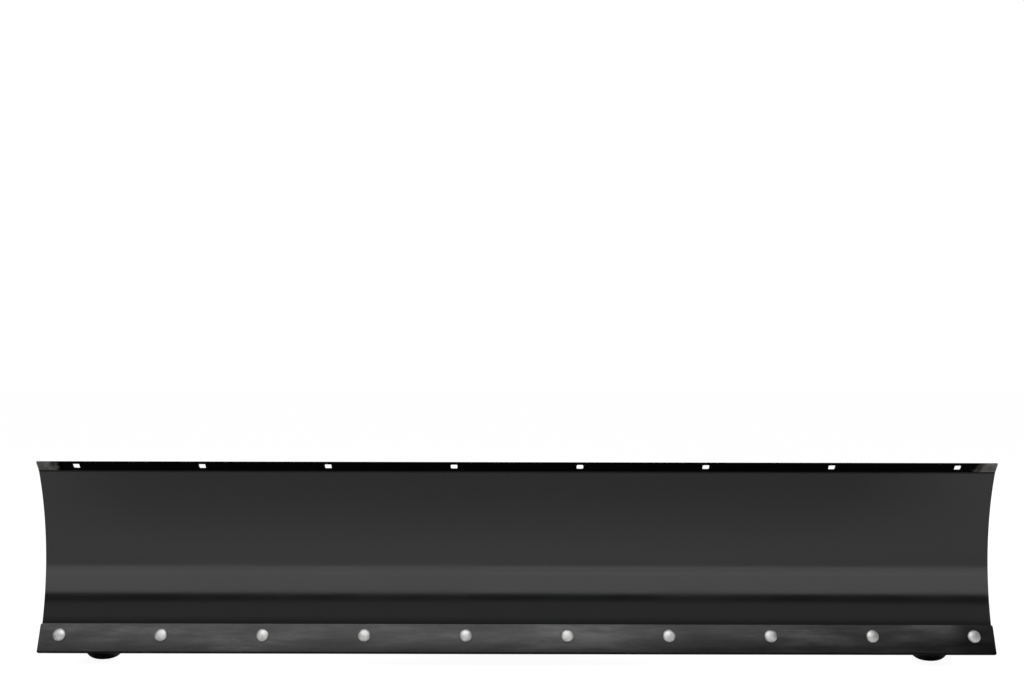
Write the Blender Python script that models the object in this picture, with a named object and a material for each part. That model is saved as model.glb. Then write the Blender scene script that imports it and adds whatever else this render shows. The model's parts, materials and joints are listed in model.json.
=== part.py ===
"""Straight steel snow plow blade for an ATV or side-by-side vehicle.

The blade faces -Y and the vehicle is at +Y.  X runs along the blade and Z is up.
The part stands as it does when unhooked: on its two skid shoes and on the rear
hooks of the push frame.  The origin is at the middle of the footprint, on the floor.
All sizes are in metres.
"""

import math

import bmesh
import bpy
from mathutils import Vector

# Driving dimensions
GAP = 0.0003
BLADE_WIDTH = 1.829
DEPTH = 1.180
FRONT = -DEPTH / 2

# Moldboard sheet, seen from the side
SHEET = 0.0035
CURVE_RADIUS = 0.400
CURVE_TOP_LEAN = math.radians(25.7)
CURVE_FOOT_LEAN = math.radians(17.6)
CURVE_STEPS = 16
LIP_LENGTH = 0.0215
LIP_LEAN = math.radians(41.0)
EDGE_LEAN = math.radians(23.6)
FLAP_HOLE_COUNT = 8
FLAP_HOLE_PITCH = 0.240
FLAP_HOLE_SIZE = 0.0125
FLAP_HOLE_CORNER = 0.0020

# Wear bar and its carriage bolts
BAR_HEIGHT = 0.0565
BAR_THICK = 0.008
BAR_FOOT_Z = 0.0264
BAR_BELOW_BEND = 0.0035
FLANGE_ABOVE_BAR_FOOT = 0.012
BOLT_COUNT = 10
BOLT_PITCH = 0.1945
BOLT_BELOW_BAR_TOP = 0.0225
BOLT_HEAD_RADIUS = 0.01235
BOLT_HEAD_HEIGHT = 0.0056
BOLT_NECK_HALF = 0.0050
BOLT_SHANK_RADIUS = 0.0048
BOLT_LENGTH = 0.0245
NUT_HALF_FLATS = 0.0085
NUT_HEIGHT = 0.0085

# Ribs and rails behind the sheet
RIB_THICK = 0.006
RIB_BACK = FRONT + 0.105
RIB_FOOT_Z = 0.078
RIB_SHOULDER_Z = 0.335
RIB_TOP_BACK = FRONT + 0.050
RIB_PLACES = (0.560, 0.885)
HINGE_X = 0.230
HINGE_RIB_OFFSET = 0.030
LOW_RAIL_SIZE = 0.040
LOW_RAIL_Z = 0.160
LOW_RAIL_HALF = 0.780
TOP_RAIL_SIZE = 0.030
TOP_RAIL_Z = 0.315
TOP_RAIL_HALF = 0.888
WALL = 0.003

# Trip hinge and trip springs
TRIP_Y = FRONT + 0.083
TRIP_Z = 0.100
TRIP_PIN_RADIUS = 0.007
TRIP_EAR_RADIUS = 0.016
TRIP_EAR_HALF = 0.0245
SPRING_X = 0.120
SPRING_LUG_THICK = 0.008
SPRING_LUG_RADIUS = 0.013
SPRING_HOLE_RADIUS = 0.005
SPRING_LOW = (FRONT + 0.190, 0.155)
SPRING_HIGH = (FRONT + 0.155, 0.313)
SPRING_RADIUS = 0.015
SPRING_BORE = 0.010
SPRING_END_CLEAR = 0.0145

# Swivel behind the blade
SWIVEL_TUBE = 0.040
SWIVEL_TUBE_Y = FRONT + 0.140
SWIVEL_TUBE_Z = 0.100
SWIVEL_HALF = 0.270
KING_Y = FRONT + 0.250
KING_RADIUS = 0.010
SECTOR_LOW_Z = SWIVEL_TUBE_Z + SWIVEL_TUBE / 2 + GAP
SECTOR_THICK = 0.010
SECTOR_FRONT = FRONT + 0.125
SECTOR_HALF = 0.150
SECTOR_SHOULDER = FRONT + 0.190
SECTOR_RADIUS = 0.155
SECTOR_HALF_ANGLE = math.radians(42.0)
INDEX_RADIUS = 0.130
INDEX_STEP = math.radians(15.0)
INDEX_EACH_SIDE = 2
CLEARANCE_HOLE = 0.0083

# Push frame
PIVOT_CLEAR = 0.0005
PIVOT_THICK = 0.008
PIVOT_NOSE = 0.035
PIVOT_HALF = 0.130
FRAME_TUBE = 0.040
FRONT_CROSS_Y = FRONT + 0.435
FRONT_CROSS_HALF = 0.150
PIVOT_TOP_END = FRONT + 0.520
REAR_CROSS_Y = FRONT + 1.090
REAR_CROSS_HALF = 0.250
REAR_CROSS_Z = 0.045
PUSH_FRONT_X = 0.105
PUSH_REAR_X = 0.200
HOOK_THICK = 0.012
HOOK_TOP = 0.095
HOOK_JAW_HALF = 0.009
HOOK_JAW_Y = FRONT + 1.148
HOOK_JAW_Z = 0.054

# Drop pin that locks the blade's angle
LOCK_Y = KING_Y + INDEX_RADIUS
LOCK_RADIUS = 0.007
LOCK_TRAVEL = 0.026
LOCK_PARKED_ABOVE = 0.0022
GUIDE_RADIUS = 0.014
GUIDE_HEIGHT = 0.045
GRIP_RADIUS = 0.005
GRIP_HALF = 0.035

# Lift bracket and shackle
LIFT_Y = FRONT + 0.470
LIFT_Z = 0.215
LIFT_THICK = 0.010
LIFT_EYE_RADIUS = 0.018
LIFT_FOOT_HALF = 0.038
SHACKLE_PIN_RADIUS = 0.006
SHACKLE_PIN_HALF = 0.024
SHACKLE_WIRE = 0.005
SHACKLE_HALF_GAP = 0.013
SHACKLE_LEG = 0.042
SHACKLE_DROOP = math.radians(-42.0)

# Skid shoes
SHOE_X = 0.808
SHOE_Y = FRONT + 0.080
SHOE_FLAT = 0.010
SHOE_RIM_RADIUS = 0.036
SHOE_RIM_Z = 0.021
SHOE_RIM_THICK = 0.006
STEM_RADIUS = 0.0125
STEM_TOP = 0.145
COLLAR_RADIUS = 0.018
SHOE_GUIDE_LOW = 0.060
SHOE_GUIDE_TOP = 0.105
SHOE_GUIDE_RADIUS = 0.017
SHOE_WEB_HALF = 0.006
SHOE_WEB_BELOW_TOP = 0.004
SHOE_PLAY = 0.020
CLIP_RADIUS = 0.003
CLIP_HALF = 0.027

AXIS_X = Vector((1.0, 0.0, 0.0))
AXIS_Z = Vector((0.0, 0.0, 1.0))
SIDES = (("left", -1), ("right", 1))
PLACES = {}


# --- scene helpers ---------------------------------------------------------


def clear_scene():
    """Removes every object of the file that the script runs in."""
    for item in list(bpy.data.objects):
        bpy.data.objects.remove(item, do_unlink=True)


def make_material(name, colour, roughness, metallic):
    """Makes one Principled material."""
    material = bpy.data.materials.new(name)
    material.use_nodes = True
    shader = material.node_tree.nodes["Principled BSDF"]
    shader.inputs["Base Color"].default_value = (*colour, 1.0)
    shader.inputs["Roughness"].default_value = roughness
    shader.inputs["Metallic"].default_value = metallic
    return material


def make_pivot(name, place, parent=None):
    """Makes an empty on a joint's axis, at a place in world coordinates."""
    pivot = bpy.data.objects.new(name, None)
    bpy.context.scene.collection.objects.link(pivot)
    pivot.parent = parent
    start = PLACES[parent.name] if parent else Vector((0.0, 0.0, 0.0))
    pivot.location = Vector(place) - start
    PLACES[name] = Vector(place)
    return pivot


def add_object(name, solid, material, pivot, smooth_angle=None):
    """Turns a bmesh in world coordinates into an object under its pivot."""
    bmesh.ops.recalc_face_normals(solid, faces=solid.faces)
    bmesh.ops.translate(solid, vec=-PLACES[pivot.name], verts=solid.verts)
    mesh = bpy.data.meshes.new(name)
    solid.to_mesh(mesh)
    solid.free()
    if smooth_angle is not None:
        mesh.shade_smooth()
        mesh.set_sharp_from_angle(angle=math.radians(smooth_angle))
    mesh.materials.append(material)
    item = bpy.data.objects.new(name, mesh)
    bpy.context.scene.collection.objects.link(item)
    item.parent = pivot
    return item


def add_guide(name, solid, pivot):
    """Adds a hidden solid that only cuts or joins other solids."""
    guide = add_object(name, solid, GUIDE_MATERIAL, pivot)
    guide.hide_render = True
    guide.display_type = "WIRE"
    return guide


def combine(item, guide, operation):
    """Adds a Boolean modifier with the exact solver."""
    modifier = item.modifiers.new(operation.lower(), "BOOLEAN")
    modifier.operation = operation
    modifier.solver = "EXACT"
    modifier.object = guide


# --- solids ----------------------------------------------------------------


def extrude(solid, outline, low, high, to_point):
    """Extrudes a closed outline between two levels; to_point places (a, b, level)."""
    rings = []
    for level in (low, high):
        rings.append([solid.verts.new(to_point(a, b, level)) for a, b in outline])
    solid.faces.new(rings[0])
    solid.faces.new(rings[1])
    count = len(outline)
    for index in range(count):
        after = (index + 1) % count
        solid.faces.new((rings[0][index], rings[0][after], rings[1][after], rings[1][index]))


def side_prism(outline, low_x, high_x):
    """Extrudes an outline of (y, z) points along X."""
    solid = bmesh.new()
    extrude(solid, outline, low_x, high_x, lambda y, z, x: (x, y, z))
    return solid


def plan_prism(outline, low_z, high_z):
    """Extrudes an outline of (x, y) points along Z."""
    solid = bmesh.new()
    extrude(solid, outline, low_z, high_z, lambda x, y, z: (x, y, z))
    return solid


def arc(centre, radius, start, end, steps):
    """Points on an arc in a plane, both ends included; angles in radians."""
    points = []
    for index in range(steps + 1):
        angle = start + (end - start) * index / steps
        points.append((centre[0] + radius * math.cos(angle), centre[1] + radius * math.sin(angle)))
    return points


def ring_radius(shape, size, angle):
    """Radius of a round, hexagonal or square ring; size is half its width across flats."""
    if shape == "round":
        return size
    sector = math.pi / 3 if shape == "hex" else math.pi / 2
    return size / math.cos((angle + sector / 2) % sector - sector / 2)


def stack(levels, count, hollow=False):
    """Lofts rings of (shape, size, height) about Z; a size of 0 closes on the axis."""
    solid = bmesh.new()
    rings = []
    for shape, size, height in levels:
        if size == 0:
            rings.append([solid.verts.new((0.0, 0.0, height))])
            continue
        ring = []
        for index in range(count):
            angle = 2 * math.pi * index / count
            radius = ring_radius(shape, size, angle)
            ring.append(solid.verts.new((radius * math.cos(angle), radius * math.sin(angle), height)))
        rings.append(ring)
    if hollow:
        rings.append(rings[0])
    for lower, upper in zip(rings, rings[1:]):
        for index in range(count):
            after = (index + 1) % count
            if len(lower) == 1:
                solid.faces.new((lower[0], upper[index], upper[after]))
            elif len(upper) == 1:
                solid.faces.new((lower[index], lower[after], upper[0]))
            else:
                solid.faces.new((lower[index], lower[after], upper[after], upper[index]))
    return solid


def aim(solid, centre, direction):
    """Turns a solid made about Z to a direction and moves it to its centre."""
    turn = AXIS_Z.rotation_difference(Vector(direction).normalized()).to_matrix()
    bmesh.ops.rotate(solid, cent=(0.0, 0.0, 0.0), matrix=turn, verts=solid.verts)
    bmesh.ops.translate(solid, vec=Vector(centre), verts=solid.verts)
    return solid


def rod(radius, length, centre, direction, count=16):
    """Round bar along a direction, centred on its middle."""
    half = length / 2
    levels = (
        ("round", 0, -half),
        ("round", radius, -half),
        ("round", radius, half),
        ("round", 0, half),
    )
    return aim(stack(levels, count), centre, direction)


def pipe(outer, inner, low, high, centre, direction=AXIS_Z, count=20):
    """Round tube between two heights along its direction."""
    levels = (
        ("round", outer, low),
        ("round", outer, high),
        ("round", inner, high),
        ("round", inner, low),
    )
    return aim(stack(levels, count, hollow=True), centre, direction)


def square_tube(start, end, size, along):
    """Open-ended square tube; its ends are cut across the world axis named by along."""
    solid = bmesh.new()
    across = [axis for axis in range(3) if axis != along]
    ends = []
    for centre in (start, end):
        rings = []
        for half in (size / 2, size / 2 - WALL):
            ring = []
            for first, second in ((-1, -1), (1, -1), (1, 1), (-1, 1)):
                point = Vector(centre)
                point[across[0]] += first * half
                point[across[1]] += second * half
                ring.append(solid.verts.new(point))
            rings.append(ring)
        ends.append(rings)
    for index in range(4):
        after = (index + 1) % 4
        for outer, inner in ends:
            solid.faces.new((outer[index], outer[after], inner[after], inner[index]))
        for layer in range(2):
            near = ends[0][layer]
            far = ends[1][layer]
            solid.faces.new((near[index], near[after], far[after], far[index]))
    return solid


def sweep(path, radius, across, count=10):
    """Round wire along a plane path; across is the plane's normal."""
    solid = bmesh.new()
    rings = []
    for index, point in enumerate(path):
        before = path[max(index - 1, 0)]
        after = path[min(index + 1, len(path) - 1)]
        forward = (after - before).normalized()
        inward = across.cross(forward)
        ring = []
        for step in range(count):
            angle = 2 * math.pi * step / count
            offset = inward * math.cos(angle) + across * math.sin(angle)
            ring.append(solid.verts.new(point + offset * radius))
        rings.append(ring)
    for lower, upper in zip(rings, rings[1:]):
        for step in range(count):
            after = (step + 1) % count
            solid.faces.new((lower[step], lower[after], upper[after], upper[step]))
    solid.faces.new(rings[0])
    solid.faces.new(rings[-1])
    return solid


def spread(count, pitch):
    """Places of equally spaced pieces about the middle."""
    return [(index - (count - 1) / 2) * pitch for index in range(count)]


# --- the sheet's side view -------------------------------------------------


def along_edge(distance):
    """Offset in (y, z) down the straight lower flange."""
    return Vector((-math.sin(EDGE_LEAN), -math.cos(EDGE_LEAN))) * distance


def out_of_edge(distance):
    """Offset in (y, z) out of the front of the lower flange."""
    return Vector((-math.cos(EDGE_LEAN), math.sin(EDGE_LEAN))) * distance


def bend_point():
    """Place of the bend above the wear bar, on the sheet's front face."""
    bar_foot = along_edge(BAR_BELOW_BEND + BAR_HEIGHT) + out_of_edge(GAP + BAR_THICK)
    curve_back = CURVE_RADIUS * (math.cos(CURVE_TOP_LEAN) - math.cos(CURVE_FOOT_LEAN))
    lip_tip_back = curve_back - LIP_LENGTH * math.sin(LIP_LEAN)
    return Vector((FRONT - lip_tip_back, BAR_FOOT_Z - bar_foot.y))


EDGE_NORMAL = (0.0, -math.cos(EDGE_LEAN), math.sin(EDGE_LEAN))
BEND = bend_point()
CURVE_CENTRE = BEND + CURVE_RADIUS * Vector((-math.cos(CURVE_FOOT_LEAN), math.sin(CURVE_FOOT_LEAN)))


def curve_points(radius):
    """Points up the curved part of the sheet at a radius from its centre."""
    return [
        Vector(point)
        for point in arc(CURVE_CENTRE, radius, -CURVE_FOOT_LEAN, CURVE_TOP_LEAN, CURVE_STEPS)
    ]


def mitre(centre, lean_below, lean_above, thickness):
    """Back-face point of a bend between two straight leans."""
    middle = (lean_below + lean_above) / 2
    reach = thickness / math.cos((lean_below - lean_above) / 2)
    return centre + reach * Vector((math.cos(middle), -math.sin(middle)))


def sheet_outline():
    """Closed outline of the moldboard sheet in (y, z)."""
    front = curve_points(CURVE_RADIUS)
    back = curve_points(CURVE_RADIUS + SHEET)
    flange_length = BAR_BELOW_BEND + BAR_HEIGHT - FLANGE_ABOVE_BAR_FOOT
    flange_foot = BEND + along_edge(flange_length)
    lip_up = Vector((-math.sin(LIP_LEAN), math.cos(LIP_LEAN))) * LIP_LENGTH
    lip_back = Vector((math.cos(LIP_LEAN), math.sin(LIP_LEAN))) * SHEET
    lip_tip = front[-1] + lip_up
    back[0] = mitre(front[0], EDGE_LEAN, CURVE_FOOT_LEAN, SHEET)
    back[-1] = mitre(front[-1], -CURVE_TOP_LEAN, -LIP_LEAN, SHEET)
    outline = [flange_foot, *front, lip_tip, lip_tip + lip_back]
    outline += reversed(back)
    outline.append(flange_foot - out_of_edge(SHEET))
    return outline


# --- blade -----------------------------------------------------------------


def flap_hole_cutter(centre_x):
    """Square cutter with rounded corners, standing out of the lip."""
    inset = FLAP_HOLE_SIZE / 2 - FLAP_HOLE_CORNER
    outline = []
    for corner, (x, y) in enumerate(((1, 1), (-1, 1), (-1, -1), (1, -1))):
        start = math.pi / 2 * corner
        outline += arc((x * inset, y * inset), FLAP_HOLE_CORNER, start, start + math.pi / 2, 3)
    solid = plan_prism(outline, -2 * SHEET, 2 * SHEET)
    root = curve_points(CURVE_RADIUS)[-1]
    middle = root + Vector((-math.sin(LIP_LEAN), math.cos(LIP_LEAN))) * LIP_LENGTH / 2
    normal = (0.0, -math.cos(LIP_LEAN), -math.sin(LIP_LEAN))
    return aim(solid, (centre_x, middle.x, middle.y), normal)


def bolt_place(centre_x, depth):
    """Point on a wear bar bolt's axis, at a depth below the bar's front face."""
    down = along_edge(BAR_BELOW_BEND + BOLT_BELOW_BAR_TOP)
    point = BEND + down + out_of_edge(GAP + BAR_THICK - depth)
    return (centre_x, point.x, point.y)


def merge_solids(solids):
    """Puts several separate cutters into one bmesh."""
    merged = bmesh.new()
    for solid in solids:
        scrap = bpy.data.meshes.new("scrap")
        bmesh.ops.recalc_face_normals(solid, faces=solid.faces)
        solid.to_mesh(scrap)
        solid.free()
        merged.from_mesh(scrap)
        bpy.data.meshes.remove(scrap)
    return merged


def make_moldboard(pivot):
    """Rolled sheet with a forward lip, flap holes and bolt holes."""
    half = BLADE_WIDTH / 2
    sheet = add_object("moldboard", side_prism(sheet_outline(), -half, half), BLACK, pivot, 20)
    cutters = [flap_hole_cutter(place) for place in spread(FLAP_HOLE_COUNT, FLAP_HOLE_PITCH)]
    for place in spread(BOLT_COUNT, BOLT_PITCH):
        centre = bolt_place(place, BAR_THICK + SHEET / 2)
        cutters.append(rod(BOLT_SHANK_RADIUS + 0.0008, 4 * SHEET, centre, EDGE_NORMAL, 12))
    combine(sheet, add_guide("moldboard_holes", merge_solids(cutters), pivot), "DIFFERENCE")


def make_wear_bar(pivot):
    """Flat replaceable cutting edge with square holes."""
    top = BEND + along_edge(BAR_BELOW_BEND) + out_of_edge(GAP)
    foot = top + along_edge(BAR_HEIGHT)
    thick = out_of_edge(BAR_THICK)
    half = BLADE_WIDTH / 2
    outline = [top, top + thick, foot + thick, foot]
    bar = add_object("wear_bar", side_prism(outline, -half, half), WORN_STEEL, pivot)
    hole = BOLT_NECK_HALF + GAP
    square = [(-hole, -hole), (hole, -hole), (hole, hole), (-hole, hole)]
    cutters = []
    for place in spread(BOLT_COUNT, BOLT_PITCH):
        cutter = plan_prism(square, -BAR_THICK, BAR_THICK)
        cutters.append(aim(cutter, bolt_place(place, BAR_THICK / 2), EDGE_NORMAL))
    combine(bar, add_guide("wear_bar_holes", merge_solids(cutters), pivot), "DIFFERENCE")


def make_wear_bar_fasteners(pivot):
    """Carriage bolts from the front and hexagon nuts behind."""
    head = BOLT_HEAD_RADIUS
    rise = BOLT_HEAD_HEIGHT
    bolt_levels = (
        ("round", 0, -BOLT_LENGTH),
        ("round", BOLT_SHANK_RADIUS, -BOLT_LENGTH),
        ("round", BOLT_SHANK_RADIUS, -BAR_THICK),
        ("square", BOLT_NECK_HALF, -BAR_THICK),
        ("square", BOLT_NECK_HALF, GAP),
        ("round", head, GAP),
        ("round", head * 0.97, rise * 0.30),
        ("round", head * 0.78, rise * 0.66),
        ("round", head * 0.45, rise * 0.92),
        ("round", 0, rise),
    )
    bore = BOLT_SHANK_RADIUS + 0.0005
    nut_levels = (
        ("hex", NUT_HALF_FLATS, 0.0),
        ("hex", NUT_HALF_FLATS, NUT_HEIGHT),
        ("round", bore, NUT_HEIGHT),
        ("round", bore, 0.0),
    )
    nut_depth = GAP + BAR_THICK + SHEET + GAP + NUT_HEIGHT
    for index, place in enumerate(spread(BOLT_COUNT, BOLT_PITCH), 1):
        bolt = aim(stack(bolt_levels, 16), bolt_place(place, 0.0), EDGE_NORMAL)
        add_object(f"wear_bar_bolt_{index:02d}", bolt, ZINC, pivot, 40)
        nut = aim(stack(nut_levels, 12, hollow=True), bolt_place(place, nut_depth), EDGE_NORMAL)
        add_object(f"wear_bar_nut_{index:02d}", nut, ZINC, pivot)


def rib_outline():
    """Side view of a rib: its front follows the back of the sheet."""
    front = curve_points(CURVE_RADIUS + SHEET + GAP)[:-1]
    top = front[-1].y
    outline = [(front[0].x, RIB_FOOT_Z), *front]
    outline += [(RIB_TOP_BACK, top), (RIB_BACK, RIB_SHOULDER_Z), (RIB_BACK, RIB_FOOT_Z)]
    return outline


def make_ribs(pivot):
    """Plain ribs near the ends and bored pairs at the trip hinges."""
    bore = add_guide(
        "trip_bore",
        rod(TRIP_PIN_RADIUS + GAP, 2 * SWIVEL_HALF + 0.1, (0.0, TRIP_Y, TRIP_Z), AXIS_X, 20),
        pivot,
    )
    half = RIB_THICK / 2
    for side, sign in SIDES:
        plain = [("mid_rib", RIB_PLACES[0]), ("end_rib", RIB_PLACES[1])]
        bored = [
            ("inner_hinge_rib", HINGE_X - HINGE_RIB_OFFSET),
            ("outer_hinge_rib", HINGE_X + HINGE_RIB_OFFSET),
        ]
        for label, place in plain + bored:
            solid = side_prism(rib_outline(), sign * place - half, sign * place + half)
            rib = add_object(f"{label}_{side}", solid, BLACK, pivot)
            if (label, place) in bored:
                combine(rib, bore, "DIFFERENCE")
    return bore


def make_rails(pivot):
    """Two box rails across the ribs."""
    for name, size, height, half in (
        ("bottom_rail", LOW_RAIL_SIZE, LOW_RAIL_Z, LOW_RAIL_HALF),
        ("top_rail", TOP_RAIL_SIZE, TOP_RAIL_Z, TOP_RAIL_HALF),
    ):
        middle = RIB_BACK + GAP + size / 2
        solid = square_tube((-half, middle, height), (half, middle, height), size, 0)
        add_object(name, solid, BLACK, pivot)


def make_spring_anchors(pivot):
    """Drilled lugs on the back of the top rail."""
    face = RIB_BACK + GAP + TOP_RAIL_SIZE + GAP
    foot = 0.014
    nose = arc(SPRING_HIGH, SPRING_LUG_RADIUS, -math.pi / 2, math.pi / 2, 10)
    outline = [(face, SPRING_HIGH[1] - foot), *nose, (face, SPRING_HIGH[1] + foot)]
    for side, sign in SIDES:
        centre = sign * SPRING_X
        half = SPRING_LUG_THICK / 2
        lug = add_object(
            f"spring_anchor_{side}", side_prism(outline, centre - half, centre + half), BLACK, pivot
        )
        hole = rod(SPRING_HOLE_RADIUS, 0.03, (centre, *SPRING_HIGH), AXIS_X, 12)
        combine(lug, add_guide(f"spring_anchor_hole_{side}", hole, pivot), "DIFFERENCE")


def make_shoe_brackets(pivot):
    """Guide tubes for the shoe stems, each on a web that meets the end rib."""
    bore = STEM_RADIUS + GAP
    rib_face = RIB_PLACES[1] - RIB_THICK / 2 - GAP
    for side, sign in SIDES:
        centre = (sign * SHOE_X, SHOE_Y, 0.0)
        tube = pipe(SHOE_GUIDE_RADIUS, bore, SHOE_GUIDE_LOW, SHOE_GUIDE_TOP, centre)
        bracket = add_object(f"shoe_bracket_{side}", tube, BLACK, pivot, 40)
        start = SHOE_X + (bore + SHOE_GUIDE_RADIUS) / 2
        web = [
            (sign * start, SHOE_Y - SHOE_WEB_HALF),
            (sign * rib_face, SHOE_Y - SHOE_WEB_HALF),
            (sign * rib_face, SHOE_Y + SHOE_WEB_HALF),
            (sign * start, SHOE_Y + SHOE_WEB_HALF),
        ]
        solid = plan_prism(web, RIB_FOOT_Z, SHOE_GUIDE_TOP - SHOE_WEB_BELOW_TOP)
        combine(bracket, add_guide(f"shoe_web_{side}", solid, pivot), "UNION")


# --- skid shoes ------------------------------------------------------------


def make_shoe(side, sign, pivot):
    """Dished shoe on a stem, held by a clip pin above its guide."""
    profile = [("round", 0, 0.0)]
    turn_steps = 5
    for index in range(turn_steps + 1):
        angle = math.pi / 2 * index / turn_steps
        radius = SHOE_FLAT + (SHOE_RIM_RADIUS - SHOE_FLAT) * math.sin(angle)
        profile.append(("round", radius, SHOE_RIM_Z * (1 - math.cos(angle))))
    profile += [
        ("round", SHOE_RIM_RADIUS, SHOE_RIM_Z + SHOE_RIM_THICK),
        ("round", COLLAR_RADIUS + 0.006, SHOE_RIM_Z + SHOE_RIM_THICK + 0.003),
        ("round", COLLAR_RADIUS, SHOE_RIM_Z + SHOE_RIM_THICK + 0.006),
        ("round", COLLAR_RADIUS, SHOE_GUIDE_LOW - GAP),
        ("round", STEM_RADIUS, SHOE_GUIDE_LOW - GAP),
        ("round", STEM_RADIUS, STEM_TOP - 0.002),
        ("round", STEM_RADIUS - 0.002, STEM_TOP),
        ("round", 0, STEM_TOP),
    ]
    centre = (sign * SHOE_X, SHOE_Y, 0.0)
    shoe = add_object(f"skid_shoe_{side}", aim(stack(profile, 24), centre, AXIS_Z), CAST, pivot, 35)
    clip_z = SHOE_GUIDE_TOP + SHOE_PLAY + GAP + CLIP_RADIUS
    clip_centre = (centre[0], centre[1], clip_z)
    bore = rod(CLIP_RADIUS + GAP, 0.05, clip_centre, AXIS_X, 12)
    combine(shoe, add_guide(f"clip_bore_{side}", bore, pivot), "DIFFERENCE")
    levels = (
        ("round", 0, -CLIP_HALF),
        ("round", CLIP_RADIUS, -CLIP_HALF),
        ("round", CLIP_RADIUS, CLIP_HALF - 0.004),
        ("round", 0.0055, CLIP_HALF - 0.004),
        ("round", 0.0055, CLIP_HALF),
        ("round", 0, CLIP_HALF),
    )
    clip = aim(stack(levels, 12), clip_centre, AXIS_X)
    add_object(f"shoe_clip_pin_{side}", clip, ZINC, pivot, 40)


# --- swivel ----------------------------------------------------------------


def make_swivel_frame(pivot, bore):
    """Cross tube with two bored ears for the trip hinge pins."""
    start = (-SWIVEL_HALF, SWIVEL_TUBE_Y, SWIVEL_TUBE_Z)
    end = (SWIVEL_HALF, SWIVEL_TUBE_Y, SWIVEL_TUBE_Z)
    frame = add_object("swivel_frame", square_tube(start, end, SWIVEL_TUBE, 0), BLACK, pivot)
    nose = arc((TRIP_Y, TRIP_Z), TRIP_EAR_RADIUS, math.pi / 2, 3 * math.pi / 2, 12)
    face = SWIVEL_TUBE_Y - SWIVEL_TUBE / 2 + WALL / 2
    outline = [(face, TRIP_Z + TRIP_EAR_RADIUS), *nose, (face, TRIP_Z - TRIP_EAR_RADIUS)]
    for side, sign in SIDES:
        centre = sign * HINGE_X
        ear = side_prism(outline, centre - TRIP_EAR_HALF, centre + TRIP_EAR_HALF)
        combine(frame, add_guide(f"trip_ear_{side}", ear, pivot), "UNION")
    combine(frame, bore, "DIFFERENCE")


def make_sector_plate(pivot):
    """Index plate on the cross tube, with spring lugs and lock notches in its rear edge."""
    low = SECTOR_LOW_Z
    high = SECTOR_LOW_Z + SECTOR_THICK
    rear = arc(
        (0.0, KING_Y),
        SECTOR_RADIUS,
        math.pi / 2 - SECTOR_HALF_ANGLE,
        math.pi / 2 + SECTOR_HALF_ANGLE,
        14,
    )
    outline = [(SECTOR_HALF, SECTOR_FRONT), (SECTOR_HALF, SECTOR_SHOULDER), *rear]
    outline += [(-SECTOR_HALF, SECTOR_SHOULDER), (-SECTOR_HALF, SECTOR_FRONT)]
    plate = add_object("sector_plate", plan_prism(outline, low, high), BLACK, pivot)
    cutters = [rod(KING_RADIUS + GAP, 0.04, (0.0, KING_Y, high), AXIS_Z, 20)]
    inner = INDEX_RADIUS - CLEARANCE_HOLE
    outer = SECTOR_RADIUS + SECTOR_THICK
    for step in range(-INDEX_EACH_SIDE, INDEX_EACH_SIDE + 1):
        along = Vector((math.sin(step * INDEX_STEP), math.cos(step * INDEX_STEP)))
        across = Vector((along.y, -along.x)) * CLEARANCE_HOLE
        middle = Vector((0.0, KING_Y))
        notch = [
            middle + along * inner - across,
            middle + along * outer - across,
            middle + along * outer + across,
            middle + along * inner + across,
        ]
        cutters.append(plan_prism(notch, low - SECTOR_THICK, high + SECTOR_THICK))
    combine(plate, add_guide("sector_cuts", merge_solids(cutters), pivot), "DIFFERENCE")
    foot_z = high - 0.002
    foot_half = SPRING_LUG_RADIUS + 0.002
    nose = arc(SPRING_LOW, SPRING_LUG_RADIUS, 0.0, math.pi, 10)
    lug = [(SPRING_LOW[0] + foot_half, foot_z), *nose, (SPRING_LOW[0] - foot_half, foot_z)]
    half = SPRING_LUG_THICK / 2
    for side, sign in SIDES:
        centre = sign * SPRING_X
        solid = side_prism(lug, centre - half, centre + half)
        combine(plate, add_guide(f"sector_lug_{side}", solid, pivot), "UNION")
        hole = rod(SPRING_HOLE_RADIUS, 0.03, (centre, *SPRING_LOW), AXIS_X, 12)
        combine(plate, add_guide(f"sector_lug_hole_{side}", hole, pivot), "DIFFERENCE")


def make_trip_pins(pivot):
    """Headed pins through the hinge ribs and the ears."""
    reach = HINGE_RIB_OFFSET + RIB_THICK / 2
    levels = (
        ("round", 0, -reach - 0.010),
        ("round", TRIP_PIN_RADIUS - 0.0015, -reach - 0.010),
        ("round", TRIP_PIN_RADIUS, -reach - 0.008),
        ("round", TRIP_PIN_RADIUS, reach + GAP),
        ("round", 0.011, reach + GAP),
        ("round", 0.011, reach + 0.005),
        ("round", 0, reach + 0.005),
    )
    for side, sign in SIDES:
        centre = (sign * HINGE_X, TRIP_Y, TRIP_Z)
        pin = aim(stack(levels, 20), centre, (sign, 0.0, 0.0))
        add_object(f"trip_pin_{side}", pin, ZINC, pivot, 40)


def make_trip_springs(pivot):
    """Outer shape of the extension springs that hold the blade upright."""
    for side, sign in SIDES:
        low = Vector((sign * SPRING_X, *SPRING_LOW))
        high = Vector((sign * SPRING_X, *SPRING_HIGH))
        span = high - low
        top = span.length - SPRING_END_CLEAR
        coil = pipe(SPRING_RADIUS, SPRING_BORE, SPRING_END_CLEAR, top, low, span)
        add_object(f"trip_spring_{side}", coil, ZINC, pivot, 40)


# --- push frame ------------------------------------------------------------


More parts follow.
